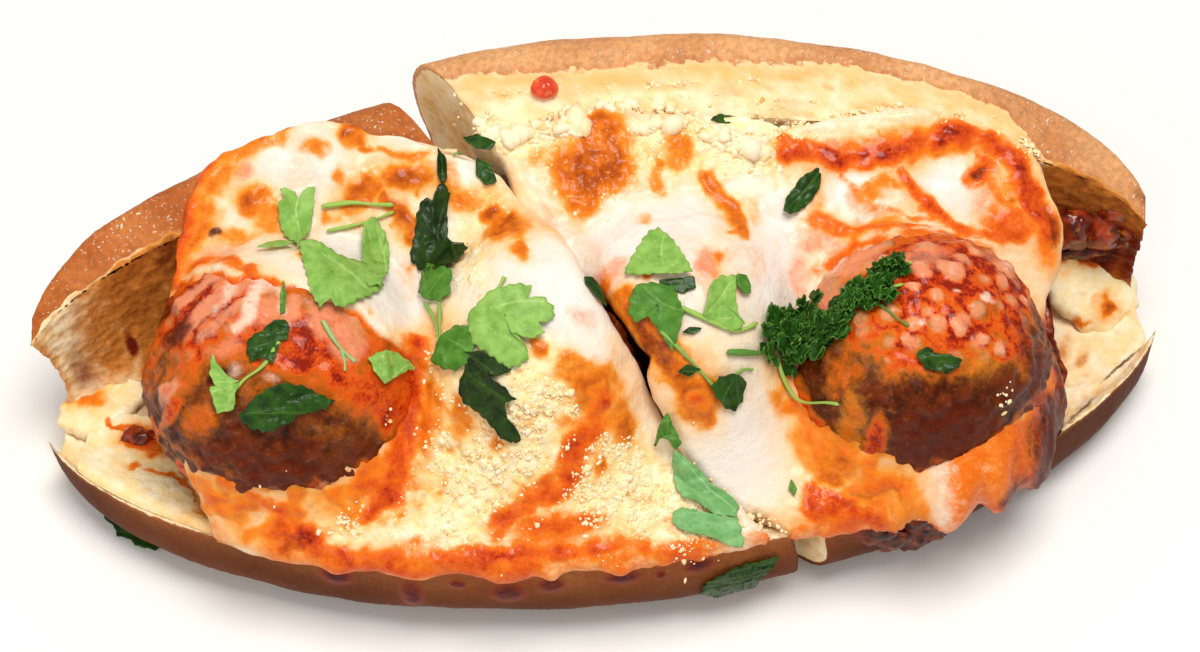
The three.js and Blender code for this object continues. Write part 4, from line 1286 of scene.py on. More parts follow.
def strewnCrumbs(key, material):
    # a zone gets crumbs by its area and share, evenly over its oval with a few strays; they stay
    # where noise says, where the melt is high enough, and less where it is wet
    plan = drifts[key]
    draw = np.random.default_rng(plan["seed"])
    count = plan["count"] // 1
    zones = np.array(plan["zones"])
    share = zones[:, 2] * zones[:, 3] * zones[:, 5]
    cx, cy, length, width, turn, _ = zones[draw.choice(len(zones), size=count, p=share / share.sum())].T
    r = np.sqrt(draw.random(count)) * (1 + 0.25 * draw.normal(size=count))
    a = draw.uniform(0, 2 * math.pi, count)
    dx, dy = turned(r * np.cos(a) * length, r * np.sin(a) * width, turn)
    x, y = cx + dx, cy + dy
    clump = noise(stacked(x, y, 0), 4.5, 81)
    masks = meltMasks(plan.get("half", key), x, y, 0 * x)
    wet = np.maximum(masks["sauce"], masks["toast"])  # where few crumbs stay
    keep = (clump > -0.3) & (heightAt(topMap, x, y) > 18) & (draw.random(count) > 2.4 * wet - 0.1)
    x, y, clump = x[keep], y[keep], clump[keep]
    sizes = np.clip(0.3 * np.exp(0.45 * draw.normal(size=len(x))), 0.16, 1.0)
    sizes = sizes * (1 + 0.5 * clump) * plan["grow"]
    tones = np.clip(plan["tone"] + 0.25 * draw.normal(size=len(x)), 0, 1)
    centres = stacked(x, y, heightAt(topMap, x, y) - plan["sunk"] * sizes)
    looseLumps("cheese_crumbs_" + key, centres, sizes, tones, material, "cheese", plan["seed"])


crumbStuff = crumbMaterial()
for key in drifts:
    strewnCrumbs(key, crumbStuff)
print("cheese crumbs strewn")


# Parsley: flat leaflets, some bright and fresh, some wilted dark in the oven, and a curly sprig

herbLook = {
    "fresh": {"name": "flat parsley, fresh cut", "rough": .42,
              "leaf": ("#76A342", "#94BE5C"), "vein": "#B9D384", "stem": "#9CBE58"},
    "blue": {"name": "flat parsley, underside up", "rough": .42,
             "leaf": ("#6AA45C", "#86B876"), "vein": "#ACD092", "stem": "#9CC27C"},
    "mid": {"name": "flat parsley, warmed through", "rough": .42,
            "leaf": ("#417420", "#5C8E34"), "vein": "#80AA50", "stem": "#86AC54"},
    "dark": {"name": "flat parsley, wilted in the oven", "rough": .3,
             "leaf": ("#18320C", "#2E5416"), "vein": "#4C742A", "stem": "#5E8A3A"},
    "wilted": {"name": "flat parsley, baked dark and oily", "rough": .3,
               "leaf": ("#14280A", "#2A4410"), "vein": "#445E1A", "stem": "#5A7A2C"},
    "curly": {"name": "curly parsley, ruffled and wilting", "rough": .42,
              "leaf": ("#183A0A", "#30601A"), "vein": "#5C8E30", "stem": "#7FA844"},
}
# cut leaves: (heart, curl, crumple, lift, outline), the outline starting where the vein comes in
leafCuts = {
    "fresh": [
        ((-54.5, 16.5), .5, .3, .8, [(-54.4, 9), (-56.8, 13), (-57.6, 16), (-57.5, 19.5), (-56, 19.6),
            (-57, 21.6), (-54.6, 21), (-53.8, 19.6), (-53, 21.3), (-50.9, 21.8), (-51.4, 18.5),
            (-52.5, 13.2)]),
        ((-58, 9.4), .4, .2, .8, [(-55.2, 9.2), (-57.5, 10.6), (-60, 10.2), (-61.6, 9), (-59, 8.2),
            (-57, 8)]),
        ((-48.5, .5), .9, .5, .9, [(-54, 9), (-51.2, 8.3), (-47.5, 5.2), (-43.6, 4.6), (-40.6, 2.2),
            (-40.4, -1), (-43, -4), (-45.5, -6.2), (-48, -7.3), (-49.3, -5.4), (-51, -7), (-52.4, -3.5),
            (-53, 1), (-53.6, 5)]),
        ((-40.9, 6), 1.1, .4, 1.4, [(-40.4, 15), (-42.3, 13), (-42.9, 9.5), (-43, 6.5), (-43.4, 3.5),
            (-42.6, -1.5), (-40.4, -1), (-38.9, 3), (-38.4, 9.5), (-38.8, 12)]),
        ((-69.3, -16.8), .5, .3, .8, [(-66.3, -18.3), (-68.5, -17), (-70, -14.5), (-70.6, -12.8),
            (-71.4, -16), (-70.4, -18.4), (-68.5, -18.8)]),
        ((-69.4, -20), .5, .3, .6, [(-66.4, -18.6), (-68.5, -18.7), (-71.6, -18.2), (-71.2, -20.3),
            (-70.8, -22.2), (-67.8, -22.2), (-67.2, -20)]),
        ((-39.8, -15.5), .5, .3, .7, [(-41.2, -18.8), (-42.6, -17.2), (-43.4, -14.8), (-41.3, -13.4),
            (-38.5, -12.6), (-35.7, -14), (-37.6, -15.8), (-39.4, -17)]),
        ((-19, -12), .5, .35, 1.1, [(-25.3, -10), (-23.2, -9), (-21, -7.5), (-17, -6.9), (-15.3, -7),
            (-13.8, -7.5), (-14.9, -9.5), (-12.4, -9.2), (-11, -10.7), (-10.4, -12), (-11.4, -13.7),
            (-13.6, -14), (-12.4, -15.4), (-13.7, -16.2), (-15.3, -16.4), (-18.4, -15), (-16, -17.2),
            (-15.5, -18.6), (-17, -19.8), (-19.2, -20.1), (-21.5, -18), (-24.8, -15), (-25.2, -12.5)]),
        ((9.5, -3), .8, .3, 1.4, [(9.8, -7), (6, -5.9), (3.3, -4.5), (4.6, -2.4), (6.5, 0), (8.5, 2.4),
            (10.2, 3), (12, 1), (13.5, -2.5), (14.8, -6.6), (12, -7.2)]),
        ((19.8, -12.5), .9, .4, 1.2, [(16, -14.7), (17.3, -12), (18, -9.5), (20, -7.7), (23, -7),
            (22.6, -9), (22, -11.3), (22.2, -14.5), (23.4, -15.6), (21.2, -16.8), (18.7, -16)])],
    "blue": [
        ((13.5, -37.6), .5, .4, .9, [(8.8, -31.8), (11.3, -33.3), (13.7, -35), (15.2, -37), (18, -38.4),
            (19.6, -39.9), (19.2, -42), (15.6, -41.7), (12.6, -39.4), (10, -38.4), (9, -36)]),
        ((14, -43.3), .5, .4, .7, [(7.7, -40.8), (9.6, -40), (13, -41), (16, -42), (19.3, -42.6), (20, -47),
            (18.3, -47.2), (15.5, -46), (12.7, -45), (10, -44), (8, -42.6)])],
    "mid": [
        ((-30.5, 0), .6, .6, .7, [(-32.7, -2.5), (-33.6, 0), (-32.7, 3.6), (-31.5, 5), (-29.4, 3.6),
            (-27.4, .4), (-28.2, -2), (-28, -3.8), (-30.2, -4.2)]),
        ((-28.3, -14.5), .6, .7, .7, [(-30.6, -11.4), (-27.5, -10.8), (-25, -12.5), (-24.6, -15),
            (-26, -17.6), (-28.4, -18), (-30.8, -16.6), (-32.6, -14.6)]),
        ((8.2, -11.8), .8, .6, 1, [(5, -7.4), (8, -7.6), (11.3, -9), (11.8, -12), (12.3, -14.2),
            (11.2, -16.8), (9.9, -19.3), (8.7, -17), (7.4, -14.6), (6.2, -13.2), (4.6, -13.8), (3.2, -12.4),
            (3.6, -10)]),
        ((24, -8.8), .8, .4, 1.2, [(23, -7), (24.8, -7.3), (25.3, -9), (25, -10.3), (24, -10.6),
            (22.8, -9)]),
        ((8.4, -29.6), .5, .4, .5, [(8, -30.4), (5.8, -29.5), (7, -28.4), (8.2, -27), (9.3, -29),
            (10.4, -30.8), (9.2, -31.8)]),
        ((30.1, -38.2), .2, .2, .4, [(30.2, -39.6), (29.3, -38.2), (30, -36.6), (30.9, -38.2)]),
        ((-57.5, -4), .3, .2, .4, [(-58, -8), (-57.9, -4), (-57.2, -1), (-56.9, -4), (-57.2, -7.6)])],
    "dark": [
        ((-60.5, -12.8), 1, 1.2, .8, [(-58.5, -12.5), (-60, -16.3), (-62, -15.3), (-64, -15.4),
            (-64.4, -13.2), (-63.8, -11.5), (-62, -11), (-60, -10), (-58, -9.3), (-56.8, -10),
            (-57.2, -12.6)]),
        ((-59.5, -22.8), .8, 1.2, .7, [(-67.2, -23.4), (-65.3, -22.5), (-64.3, -21.5), (-61.4, -20.4),
            (-58.9, -20), (-55.2, -20.2), (-53.2, -21.2), (-50.7, -21.9), (-51.8, -23), (-53.6, -23.6),
            (-56.4, -24), (-58.9, -25.3), (-61.8, -26.2), (-64.7, -25.4)]),
        ((19.5, -25), .6, .5, .7, [(21, -22.9), (22.8, -23.6), (21.8, -26), (20.4, -27.3), (18.7, -27),
            (17.2, -26), (16.4, -24.8), (18.2, -23.5)]),
        ((13.8, -16.7), .3, .3, .6, [(12, -16.8), (13.4, -16), (15.6, -16.4), (14, -17.3)]),
        ((12.3, -22.5), .3, .3, .6, [(10.5, -22.6), (12.2, -21.6), (14.6, -22.4), (12.4, -23.4)]),
        ((12, -8.4), .3, .3, .5, [(9, -7.2), (12, -7.3), (15, -7), (15.4, -9), (13, -9.8), (10, -8.8)]),
        ((37.8, 11.8), 1.2, .4, .9, [(34, 8.5), (35.2, 11.5), (38, 14.5), (41.5, 15.6), (41.6, 13.4),
            (39.6, 10.8), (37, 8.8), (35.4, 8)]),
        ((55.8, -28), .8, .6, .8, [(52, -26.6), (54, -25.8), (55.4, -27), (57.5, -27.2), (60, -28.3),
            (59, -29.4), (57, -30.2), (55.5, -29.4), (53.6, -29)]),
        ((-2.4, -7.2), .3, .4, .6, [(-4.2, -5), (-2.6, -5), (-1, -7.4), (-.8, -10), (-2.6, -8.4),
            (-4, -6.4)]),
        ((-20, 26.4), .5, .6, .6, [(-23, 27.4), (-20.4, 28), (-17.2, 25.8), (-18, 24.4), (-20.6, 25)]),
        ((-19.6, 20.6), .5, .6, .6, [(-20.8, 23.4), (-18.4, 22), (-17.6, 18.6), (-19.6, 18),
            (-21.2, 20.6)]),
        ((25, 26.8), .4, .4, .3, [(22.6, 26), (25, 28.2), (27.6, 27.6), (26.4, 25.6)]),
        ((27.8, 22.2), .4, .4, .3, [(26.8, 23.2), (28.4, 22.8), (29, 21.2), (27.4, 21.4)])],
    "wilted": [
        ((-29.8, 10), 1, 1.3, .8, [(-27.5, 19.3), (-26.4, 17.5), (-27.2, 15), (-27.6, 10), (-25, 6.8),
            (-24.4, 4.6), (-27.2, 2.4), (-28.8, 3.2), (-31, 3), (-33, 5), (-34.6, 7.6), (-33.4, 11),
            (-32.6, 14), (-31.4, 16.4), (-29.6, 16), (-28.6, 18)]),
        ((-27.2, 22), .6, .6, .8, [(-27.5, 19), (-28.2, 21), (-27.6, 25.5), (-26.4, 23), (-26.6, 20.4)]),
        ((-23.8, -18.8), .8, 1.2, .6, [(-26.6, -16), (-24.3, -16.7), (-21.5, -18.4), (-18.7, -20.6),
            (-21, -21), (-24, -20.6), (-26.8, -19)]),
        ((-23.6, -23.6), 1, 1.3, .8, [(-27, -18.8), (-24.2, -19.8), (-21.9, -22.2), (-18.6, -24.9),
            (-20.6, -25), (-20.6, -26.6), (-18.4, -29), (-19.4, -29.8), (-21.4, -29.2), (-23, -27.6),
            (-25.1, -25), (-27.6, -23), (-28.2, -20.6)])],
}
# stems: (thickness, kind, points in plan)
stems = [
    (1, "fresh", [(-50, 18.2), (-44, 18), (-36.6, 16.8)]),
    (.7, "fresh", [(-49.5, 13.6), (-44, 14.3), (-36.6, 15.8)]),
    (.9, "fresh", [(-53.4, 13.4), (-54.2, 11), (-54.2, 8)]),
    (.85, "fresh", [(-58.5, -12.5), (-62, -16.5), (-65.3, -18), (-67.5, -19.4)]),
    (.7, "mid", [(-33, -2.5), (-31.5, -7), (-31, -11.5), (-31.2, -14)]),
    (.7, "mid", [(-30.2, -4), (-30.5, -9), (-31, -13.4)]),
    (.8, "mid", [(8, -15.5), (12, -20), (17.5, -25)]),
    (.95, "fresh", [(11, -12), (16.3, -14.8), (21.5, -16.6), (26, -14.7)]),
    (.75, "fresh", [(29, -18), (30.6, -21.8), (33, -25), (39, -29.6)]),
    (.6, "dark", [(46, -15.5), (49, -19.5), (51.5, -22)]),
    (.5, "mid", [(-18.5, 24), (-23, 25), (-25, 24)]),
    (1, "fresh", [(-20.8, -8.6), (-19.6, -6.6), (-18.2, -4.4)]),
    (.8, "blue", [(-51, -9), (-48.8, -13), (-45.8, -15.7)]),
    (.6, "blue", [(-48.2, -13.6), (-47.8, -15.6), (-47.9, -17.2)]),
    (1.2, "dark", [(19.5, -20), (23, -19.6), (27, -18.6), (31, -16.6)]),
    (.6, "mid", [(21, -22.7), (22.4, -21.8), (24.5, -21.4)]),
]
# against the front crust: (x and height of the heart, outline as (x, height))
hangingCuts = [((18.5, 13), [(27, 19.5), (22.5, 19), (17.5, 18.5), (13.5, 16), (12.5, 12.5), (14.5, 10),
    (16, 6.5), (18.5, 8), (21, 5.5), (22.5, 8), (22.8, 11.5), (24.2, 14.5)])]
# on the table, half under the roll
lyingCuts = [((-92, -19.4), [(-98.3, -16.3), (-97, -14.8), (-94, -15.8), (-89, -18.8), (-87, -22.4),
    (-88.6, -24), (-92.4, -22.6), (-93.4, -21.2), (-95.8, -20.2), (-96.2, -18.2)])]


def herbMaterial(look):
    # parsley leaf: matt green with paler veins and a faint wax on it
    material, tree = newMaterial(look["name"], Subsurface_Weight=0.08, Subsurface_Scale=0.001, IOR=1.42,
                                 Roughness=look["rough"], Specular_IOR_Level=0.25)
    veins = add(tree, "MapRange", smooth, Value="vein", From_Min=0.1, From_Max=1.0, To_Max=0.75)
    colour = layered(tree, look["leaf"][0], (speckle(tree, 2.4, 3, low=0.3, high=0.7), look["leaf"][1]),
                     (veins, look["vein"]), ("stalk", look["stem"]))
    return finished(material, [(0.5, 0.05), (1.4, 0.15)], Base_Color=colour)


def cutLeaf(heart, outline, curl, crumple, draw):
    # the outline, saw-toothed a little, shrunk in rings to the heart; veins fan out from its first
    # point, each strip between them puffed up; towards the edge it curls and crumples
    count = 121
    foot, heart = np.array(outline[0], float), np.array(heart, float)
    corners = np.array(outline + outline[:1], float)
    run = runAlong(corners, 0)
    s = np.linspace(0, run[-1], count)
    edge = stacked(np.interp(s, run, corners[:, 0]), np.interp(s, run, corners[:, 1]))[:-1]
    edge = (np.roll(edge, 1, axis=0) + 2 * edge + np.roll(edge, -1, axis=0)) / 4
    edge = np.concatenate([edge, edge[:1]])
    length = np.linalg.norm(edge - heart, axis=1).max()
    saw = (s / run[-1] * max(round(run[-1] / 1.9), 3)) % 1.0
    teeth = np.minimum(saw * 3, 1.5 - 1.5 * saw) * blend(0, 2, np.linalg.norm(edge - foot, axis=1))
    edge = heart + (edge - heart) * (1 + 0.09 * teeth)[:, None]
    r = np.linspace(0.02, 1.0, 14)[:, None]
    plan = heart + (edge - heart) * r[..., None]
    spot = stacked(plan[..., 0], plan[..., 1], float(draw.integers(0, 99)))
    dx, dy = np.moveaxis(plan - foot, -1, 0)
    away = np.hypot(dx, dy)
    strip = np.unwrap(np.arctan2(dy, dx), axis=1) * 4.2 + 0.5 * noise(spot, 7, 3)
    puff = np.abs(np.sin(strip))
    vein = np.exp(-(puff / (0.05 + 0.45 / (1 + away))) ** 2) * (1 - 0.45 * r)
    side = 0.4 * np.exp(-((np.abs((away * 0.55 + 0.9 * puff) % 1.0 - 0.5)) / 0.1) ** 2) * blend(1, 3, away)
    a = np.linspace(0, 2 * math.pi, count) * 2 + draw.uniform(0, 6)
    h = (curl * length * 0.16 * r ** 2 * np.sin(a) + crumple * 0.55 * noise(spot, 2.6, 5) * (0.3 + r)
         + crumple * 0.3 * noise(spot, 1.2, 6) + 0.28 * puff * np.minimum(length / 8, 1) - 0.1)
    return plan[..., 0], plan[..., 1], h, r, {"vein": np.clip(vein + 0.5 * side, 0, 1)}


def laidLeaf(heart, curl, crumple, lift, outline, draw):  # on the melt, over the highest things near it
    x, y, h, r, masks = cutLeaf(heart, outline, curl, crumple, draw)
    z = heightAt(drape, x, y) + lift + np.maximum(h, -0.9 * lift) + 0.4 * lift * r
    return stacked(x, y, np.maximum(z, heightAt(peaks, x, y) + 0.2 + 0.05 * h)), masks


def crustFace(key, x, z):  # how far forward the roll comes at x and height z
    skin = surfaces["roll_" + key]
    front, step, middle = np.zeros((160, 50)), 1.5, 80  # cells, millimetres a cell, the cell at x = 0

    def cellOf(spot):
        cell = np.round(spot / step + [middle, 0]).astype(int)
        return tuple(np.moveaxis(np.clip(cell, 0, np.subtract(front.shape, 1)), -1, 0))

    np.minimum.at(front, cellOf(skin[:, [0, 2]]), skin[:, 1])
    for _ in range(3):
        near = np.min([np.roll(front, way, axis) for way in (-1, 1) for axis in (0, 1)], axis=0)
        front = np.where(front == 0, near, front)
    return front[cellOf(stacked(x, z))]


def hangingLeaf(heart, outline, draw):  # upright, close against the front crust
    x, z, h, _, masks = cutLeaf(heart, outline, 0.3, 0.8, draw)
    forward = crustFace("left", x, z) - 0.5 - 0.6 * np.abs(np.maximum(h, -0.2))
    return stacked(x, forward, np.maximum(z, 0.4)), masks


def lyingLeaf(heart, outline, draw):  # flat, just above the table
    x, y, h, _, masks = cutLeaf(heart, outline, 0.3, 1.0, draw)
    return stacked(x, y, 1.1 + 0.8 * np.abs(np.maximum(h, -0.2))), masks


def tubeGrid(line, width, lift=0.5):
    # rings of eight points around a smooth line, swelling and thinning a little
    x, y = curveThrough(line, 26).T
    z = heightAt(drape, x, y) + width / 2 + lift
    z = np.convolve(np.pad(z, 3, mode="edge"), np.ones(7) / 7, mode="valid")
    line = stacked(x, y, z)
    way = np.gradient(line, axis=0)
    way /= np.linalg.norm(way, axis=1, keepdims=True)
    side = np.cross(way, [0, 0, 1.0])
    side /= np.linalg.norm(side, axis=1, keepdims=True)
    a = np.linspace(0, 2 * math.pi, 9)[:, None]
    ring = side[:, None] * np.cos(a) + np.cross(side, way)[:, None] * np.sin(a)
    ring[:, -1] = ring[:, 0]
    radius = width / 2 * (0.85 + 0.25 * np.sin(np.linspace(0, 7, 26)))
    radius[0] = radius[-1] = 0.0
    return line[:, None] + ring * radius[:, None, None]


def herbPiece(name, made, material, **more):  # leaves or stems of one kind, as one piece
    grids, masks = zip(*made)
    gridPiece("parsley_" + name, grids, masks, material, "parsley", **more)


def flatParsley(kind, material):
    # one kind's leaves in one piece and its stems in another
    draw = np.random.default_rng(len(kind) * 7)
    made = [laidLeaf(*cut, draw) for cut in leafCuts[kind]]
    if kind == "dark":
        made += [hangingLeaf(*cut, draw) for cut in hangingCuts]
        made += [lyingLeaf(*cut, draw) for cut in lyingCuts]
    herbPiece(kind, made, material, thicken=0.25)
    tubes = [(tubeGrid(line, width), {"stalk": 1.0}) for width, name, line in stems if name == kind]
    if tubes:
        herbPiece("stems_" + kind, tubes, material)


# curly sprig: small ruffled leaflets crowded in clusters (x, y, half width, half depth, leaflets), on twigs
sprig = {
    "seed": 12,
    "clusters": [(30.5, -18, 3.4, 1.8, 16), (33.5, -14.5, 4, 3.6, 44), (38, -17.5, 4.4, 3, 40),
        (42.5, -14.5, 3.4, 2.8, 26), (46.5, -12, 2.8, 2.2, 18), (50.5, -9.5, 2.2, 2, 12),
        (48, -16, 2.4, 1.2, 8), (36, -9.5, 1.4, 1.4, 5)],
    "twigs": [[(30, -16.5), (38, -15.5), (46, -14.5), (52, -14)], [(44, -14), (47, -10.5), (48, -8.5)],
        [(46, -14.5), (50, -12), (54, -9.5)]],
}


def frillGrid(x, y, heading, length, lift, tilt, draw):
    # a fan whose edge is longer than its ribs, so it waves up and down, more and more outwards
    angle = np.linspace(-1.9, 1.9, 37)
    r = np.linspace(0.03, 1.0, 6)[:, None]
    wavy, phase = draw.uniform(4.5, 7), draw.uniform(0, 6)
    teeth = 0.3 * np.abs((angle * 2.1 + phase) % 1.0 - 0.4)
    reach = 1 - 0.28 * np.abs(np.sin(angle * 1.6 + phase)) ** 0.6 - teeth
    reach = reach * blend(2.05, 1.2, np.abs(angle)) ** 0.5
    h = length * (0.3 * r ** 1.5 * np.sin(angle * wavy + phase) + tilt * r - 0.12 * r ** 2)
    dx, dy = turned(reach * r * np.cos(angle), -reach * r * np.sin(angle), heading)
    x, y = x + length * dx, y + length * dy
    z = np.maximum(heightAt(drape, x, y) + lift + h, heightAt(topMap, x, y) + 0.15)
    ribs = np.exp(-(np.abs(np.sin(angle * 3.5 + phase)) / (0.1 + 0.3 * (1 - r))) ** 2) * (1 - 0.4 * r)
    return stacked(x, y, z), np.clip(0.5 * ribs + 0.9 * blend(0.82, 1.0, r), 0, 1)


def curlySprig(material, twigMaterial):
    # leaflets strewn evenly over each cluster's oval, standing higher towards its middle
    draw = np.random.default_rng(sprig["seed"])
    made = []
    for cx, cy, wide, deep, count in sprig["clusters"]:
        for _ in range(count):
            r, a = math.sqrt(draw.random()), draw.uniform(0, 2 * math.pi)
            grid, vein = frillGrid(cx + wide * r * math.cos(a), cy + deep * r * math.sin(a),
                                   draw.uniform(0, 360), draw.uniform(1.3, 3.0),
                                   draw.uniform(0.5, 2.2) + 1.3 * (1 - r), draw.uniform(-0.1, 0.9), draw)
            made.append((grid, {"vein": vein * (0.3 + 0.7 * draw.random())}))
    herbPiece("curly", made, material, thicken=0.2)
    twigs = [(tubeGrid(run, 0.7, 1.2), {"stalk": 1.0}) for run in sprig["twigs"]]
    herbPiece("curly_stems", twigs, twigMaterial)


herbs = {kind: herbMaterial(look) for kind, look in herbLook.items()}
for kind in leafCuts:
    flatParsley(kind, herbs[kind])
curlySprig(herbs["curly"], herbs["fresh"])
print("parsley laid")


# Small separate bits: flaps and films of cheese at the two ends, sauce chunks, burnt drips

films = {
    # films: (x, y, half length, half width, turn, thickness, height, rise per mm in x and in y)
    "place": [(95.8, 3.6, 9.4, 7, -6, 2.8, 14.6, -.25, .62), (-96, 1.5, 8.5, 5.4, 20, 2.6, 12.6, .05, .05),
        (27, 23.6, 9.5, 3.4, -5, 2, 51.5, -.06, .5), (-84.5, -14.5, 6, 3.4, -45, 1.6, 14.8, .2, .1),
        (-90, -5, 6, 4, -20, 2, 13.5, .2, 0)],
    "toast": {
        "spots": [(98.6, .4, 1.5, 1.2, 0, 1), (92, -2.4, 3.4, .9, 10, .6), (-99, 4, 4, 3, 0, .6),
            (-76, -26, 4, 2, -30, .4)],
    },
    "sauce": {
        "spots": [(88, 9, 3, 2, 0, .6), (94, 9.4, 9, 1.2, 0, .7), (-88.5, -7.6, 3.2, 2, -40, .8),
            (-86, -11, 2, 1.3, -30, .6), (-90, -13.4, 2, .8, 0, .5), (-85, -15.6, 2.4, .7, -20, .5),
            (-81, -19, 1.5, .8, -45, .4)],
        "streaks": [(.6, .5, [(-95, -2.5), (-92, -4), (-89, -6)]), (.5, .45, [(-83, -17), (-80.5, -20),
            (-79, -23)])],
    },
}
# at the roll's left end, cheese that ran out from under the meatball and set on the crumb
shelf = {
    "rim": (-100.5, -66),
    "in": [(-98.5, -1), (-93, -2.5), (-87, -6.5), (-81, -12), (-76, -18), (-72, -21), (-67, -23),
        (-62, -25)],
    "height": (12.5, 20),
    "thick": 1.5,
}
# lumps: (x, y, z, half sizes)
chunks = {
    "tomato_chunks": [(-88.5, -6.6, 14.4, 4, 2.2, 1.6), (91.5, 10.5, 29, 5, 3.4, 5.4),
        (97, 9.5, 29, 4.6, 3.4, 5), (101.6, 8.6, 29, 3.2, 2.8, 4.2), (95, 9.6, 22, 7, 2.2, 2),
        (99, 10.5, 35, 3.4, 2.6, 3)],
    "burnt_drips": [(46, 0, 17, 4, 1, 3), (49.5, 0, 12.5, 3.4, 1.2, 4.4), (53.5, 0, 10.5, 3.8, 1.4, 5),
        (57.5, 0, 11.5, 3.6, 1.3, 5), (61, 0, 14.5, 3.6, 1.1, 4), (65, 0, 17, 4, 1, 2.8),
        (53, 0, 16, 5, 1, 3.6), (59, 0, 17, 5, 1, 3.4)],
    "sauce_drop": [(-7, 35.6, 57, 2.5, 2.3, 1.9)],
}


def film(place, seed):
    # an oval outline made uneven by noise; thick in the middle, with a rounded rim, closed below
    cx, cy, length, width, turn, thick, height, riseX, riseY = place
    a = np.linspace(0, 2 * math.pi, 97)
    ring = stacked(np.cos(a), np.sin(a), seed)
    ring[-1] = ring[0]
    reach = 1 + waves(ring, (0.24, 0.8, seed), (0.1, 0.25, seed + 1))
    r = np.linspace(0, 1, 26)[:, None]
    dx, dy = turned(r * reach * ring[:, 0] * length, r * reach * ring[:, 1] * width, turn)
    x, y, low = cx + dx, cy + dy, height + riseX * dx + riseY * dy
    body = np.sqrt(np.maximum(1 - r ** 5, 0)) * (0.75 + 0.35 * r ** 2)
    return [stacked(x, y, low + thick * body), stacked(x, y, np.where(r < 1, low - 0.5, low))]


def shelfGrids():
    # from the roll's rim in to a line under the meatball, sagging between, with both edges turned down
    half = halves["left"]
    rimX = np.linspace(*(toRoll(half, x, -20)[0] for x in shelf["rim"]), 60)
    rimLine = stacked(*fromRoll(half, rimX, frontOf(half, rimX) + 2.2))
    r = np.linspace(0, 1, 30)[:, None]
    x, y = np.moveaxis(mix(rimLine, curveThrough(shelf["in"], 60), r[..., None]), -1, 0)
    rimHigh = sheetAt(half, "crust", rimX, 0 * rimX)[..., 1] + 0.3
    z = mix(rimHigh, np.linspace(*shelf["height"], 60), blend(0, 1, r)) - 1.4 * np.sin(math.pi * r)
    rim = np.exp(-(r / 0.12) ** 2)
    return [(stacked(x, y, z + shelf["thick"] * (1 - (2 * r - 1) ** 8)), rim), (stacked(x, y, z - 0.4), rim)]


def layFilms():
    # films and shelf in one piece, marked in plan with a glow round the marks and along the rim
    grids = [(grid, 0.0) for i, place in enumerate(films["place"]) for grid in film(place, 90 + i)]
    grids += shelfGrids()
    masks = []
    for grid, rim in grids:
        x, y = nudged(grid + [0, 0, 7.0], grid[..., 0], grid[..., 1], 91, (1.6, 4), (0.8, 1.6))
        glow = spots(x, y, films["toast"]["spots"] + films["sauce"]["spots"], 2.2) + 0.4 * rim
        masks.append({"toast": np.maximum(marks(x, y, films["toast"]), 0.18 * rim),
                      "sauce": marks(x, y, films["sauce"]), "glow": np.clip(glow, 0, 1),
                      "grain": 0.6, "wet": 0.6})
    gridPiece("melt_films", [grid for grid, rim in grids], masks, cheeseStuff, "cheese",
              relief=lambda points, values: waves(points, (0.4, 5, 95), (0.2, 1.8, 96)))


def dripMaterial():
    # cheese and sauce that dripped and burnt nearly black
    material, tree = newMaterial("drips, burnt on", Roughness=0.45, IOR=1.45, Specular_IOR_Level=0.4)
    tones = {"tones": ((0.35, "#2A0F08"), (0.55, "#6A2A12"), (0.75, "#B4561F"))}
    colour = add(tree, "ValToRGB", tones, Fac=speckle(tree, 2.2, 3))
    return finished(material, [(0.6, 0.15)], Base_Color=colour)


def lumpy(points, values):  # rounded lumps with slow and fine waves over them
    return 0.6 * (0.5 - cellNoise(points, 2.2, 97)[0]) + waves(points, (0.8, 3, 98), (0.4, 1.2, 99))


def calm(points, values):  # hardly any waves, as on a still drop
    return 0.25 * noise(points, 1.6, 99)


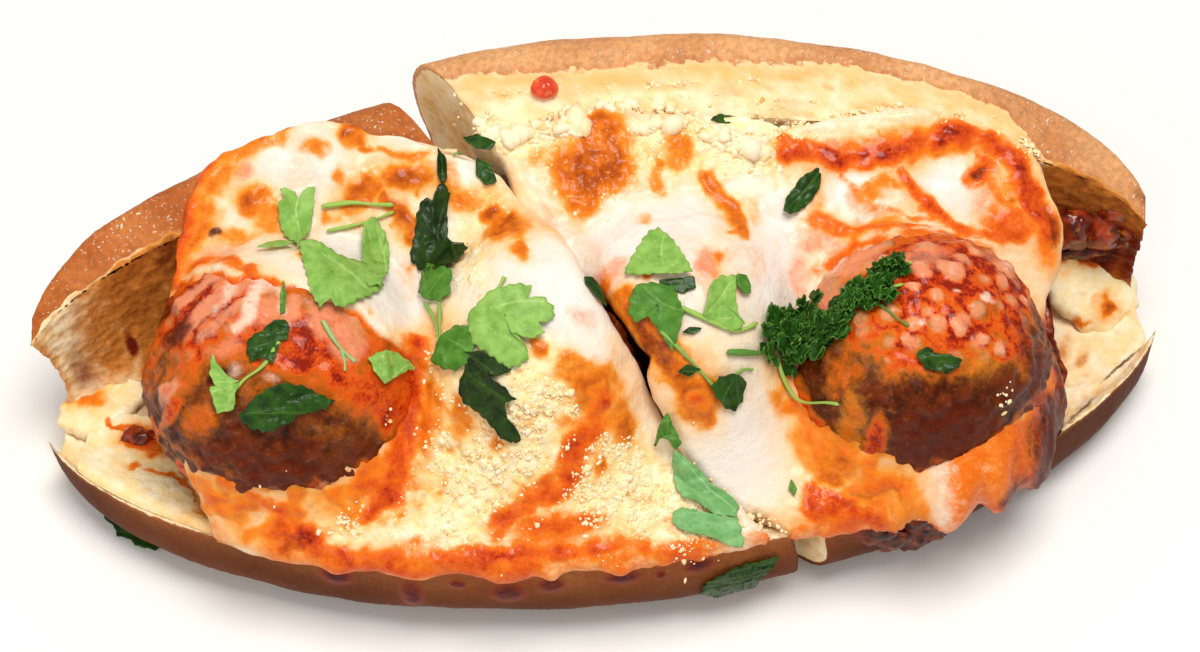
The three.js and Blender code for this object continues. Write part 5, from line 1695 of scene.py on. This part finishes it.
layFilms()
stuffs = {"tomato_chunks": (sauceStuff, lumpy), "burnt_drips": (dripMaterial(), lumpy),
          "sauce_drop": (sauceMaterial("tomato sauce, a fresh drop", sauceLook["fresh"]), calm)}
for name, places in chunks.items():
    x, y, z, *radii = np.transpose(places)
    if name == "burnt_drips":  # set into the front of the crust
        y = y + crustFace("right", x, z) + 0.2
    grids = [centre + ballGrid(19, 33) * radius for centre, radius in zip(stacked(x, y, z), stacked(*radii))]
    gridPiece(name, grids, [{"top": 1.0}] * len(grids), stuffs[name][0], "sauce", relief=stuffs[name][1])
print("small bits placed")


# Floor, light and camera

stageLook = {"floor": "#F4F2EE", "sky": 0.42, "key": 7.0, "fill": 2.0}
cameraLook = {"target": (-0.00083, -0.00083, 0.03), "azimuth": -6.5, "elevation": 62,
              "distance": 0.53, "lens": 85}

floorMesh = bpy.data.meshes.new("floor")
floorMesh.from_pydata([(-3, -3, 0), (3, -3, 0), (3, 3, 0), (-3, 3, 0)], [], [(0, 1, 2, 3)])
board, _ = newMaterial("matt white board", Roughness=0.8, Base_Color=tint(stageLook["floor"]))
floorMesh.materials.append(board)
floor = linked("floor", floorMesh)

world = bpy.data.worlds.new("pale room")
world.use_nodes = True
sky = world.node_tree.nodes["Background"].inputs
sky["Color"].default_value, sky["Strength"].default_value = (1, 0.99, 0.975, 1), stageLook["sky"]
bpy.context.scene.world = world


def softLight(name, at, size, watts, colour):
    # a round lamp that points at the sandwich
    data = bpy.data.lights.new(name, "AREA")
    data.shape, data.size, data.energy, data.color = "DISK", size, watts, colour
    lamp = linked(name, data)
    lamp.location = at
    lamp.rotation_euler = (Vector((0, 0, 0.03)) - Vector(at)).to_track_quat("-Z", "Y").to_euler()


softLight("window", (0.1, 0.0, 0.95), 0.45, stageLook["key"], (1, 0.985, 0.965))
softLight("bounce", (-0.6, -0.45, 0.6), 0.8, stageLook["fill"], (1, 0.96, 0.9))

turn, lift = math.radians(cameraLook["azimuth"]), math.radians(cameraLook["elevation"])
away = Vector((math.sin(turn) * math.cos(lift), -math.cos(turn) * math.cos(lift), math.sin(lift)))
cameraData = bpy.data.cameras.new("camera")
cameraData.lens, cameraData.sensor_width = cameraLook["lens"], 36
cameraData.clip_start, cameraData.clip_end = 0.01, 20
camera = linked("camera", cameraData)
camera.location = Vector(cameraLook["target"]) + away * cameraLook["distance"]
camera.rotation_euler = (-away).to_track_quat("-Z", "Y").to_euler()
bpy.context.scene.camera = camera
print("stage set")
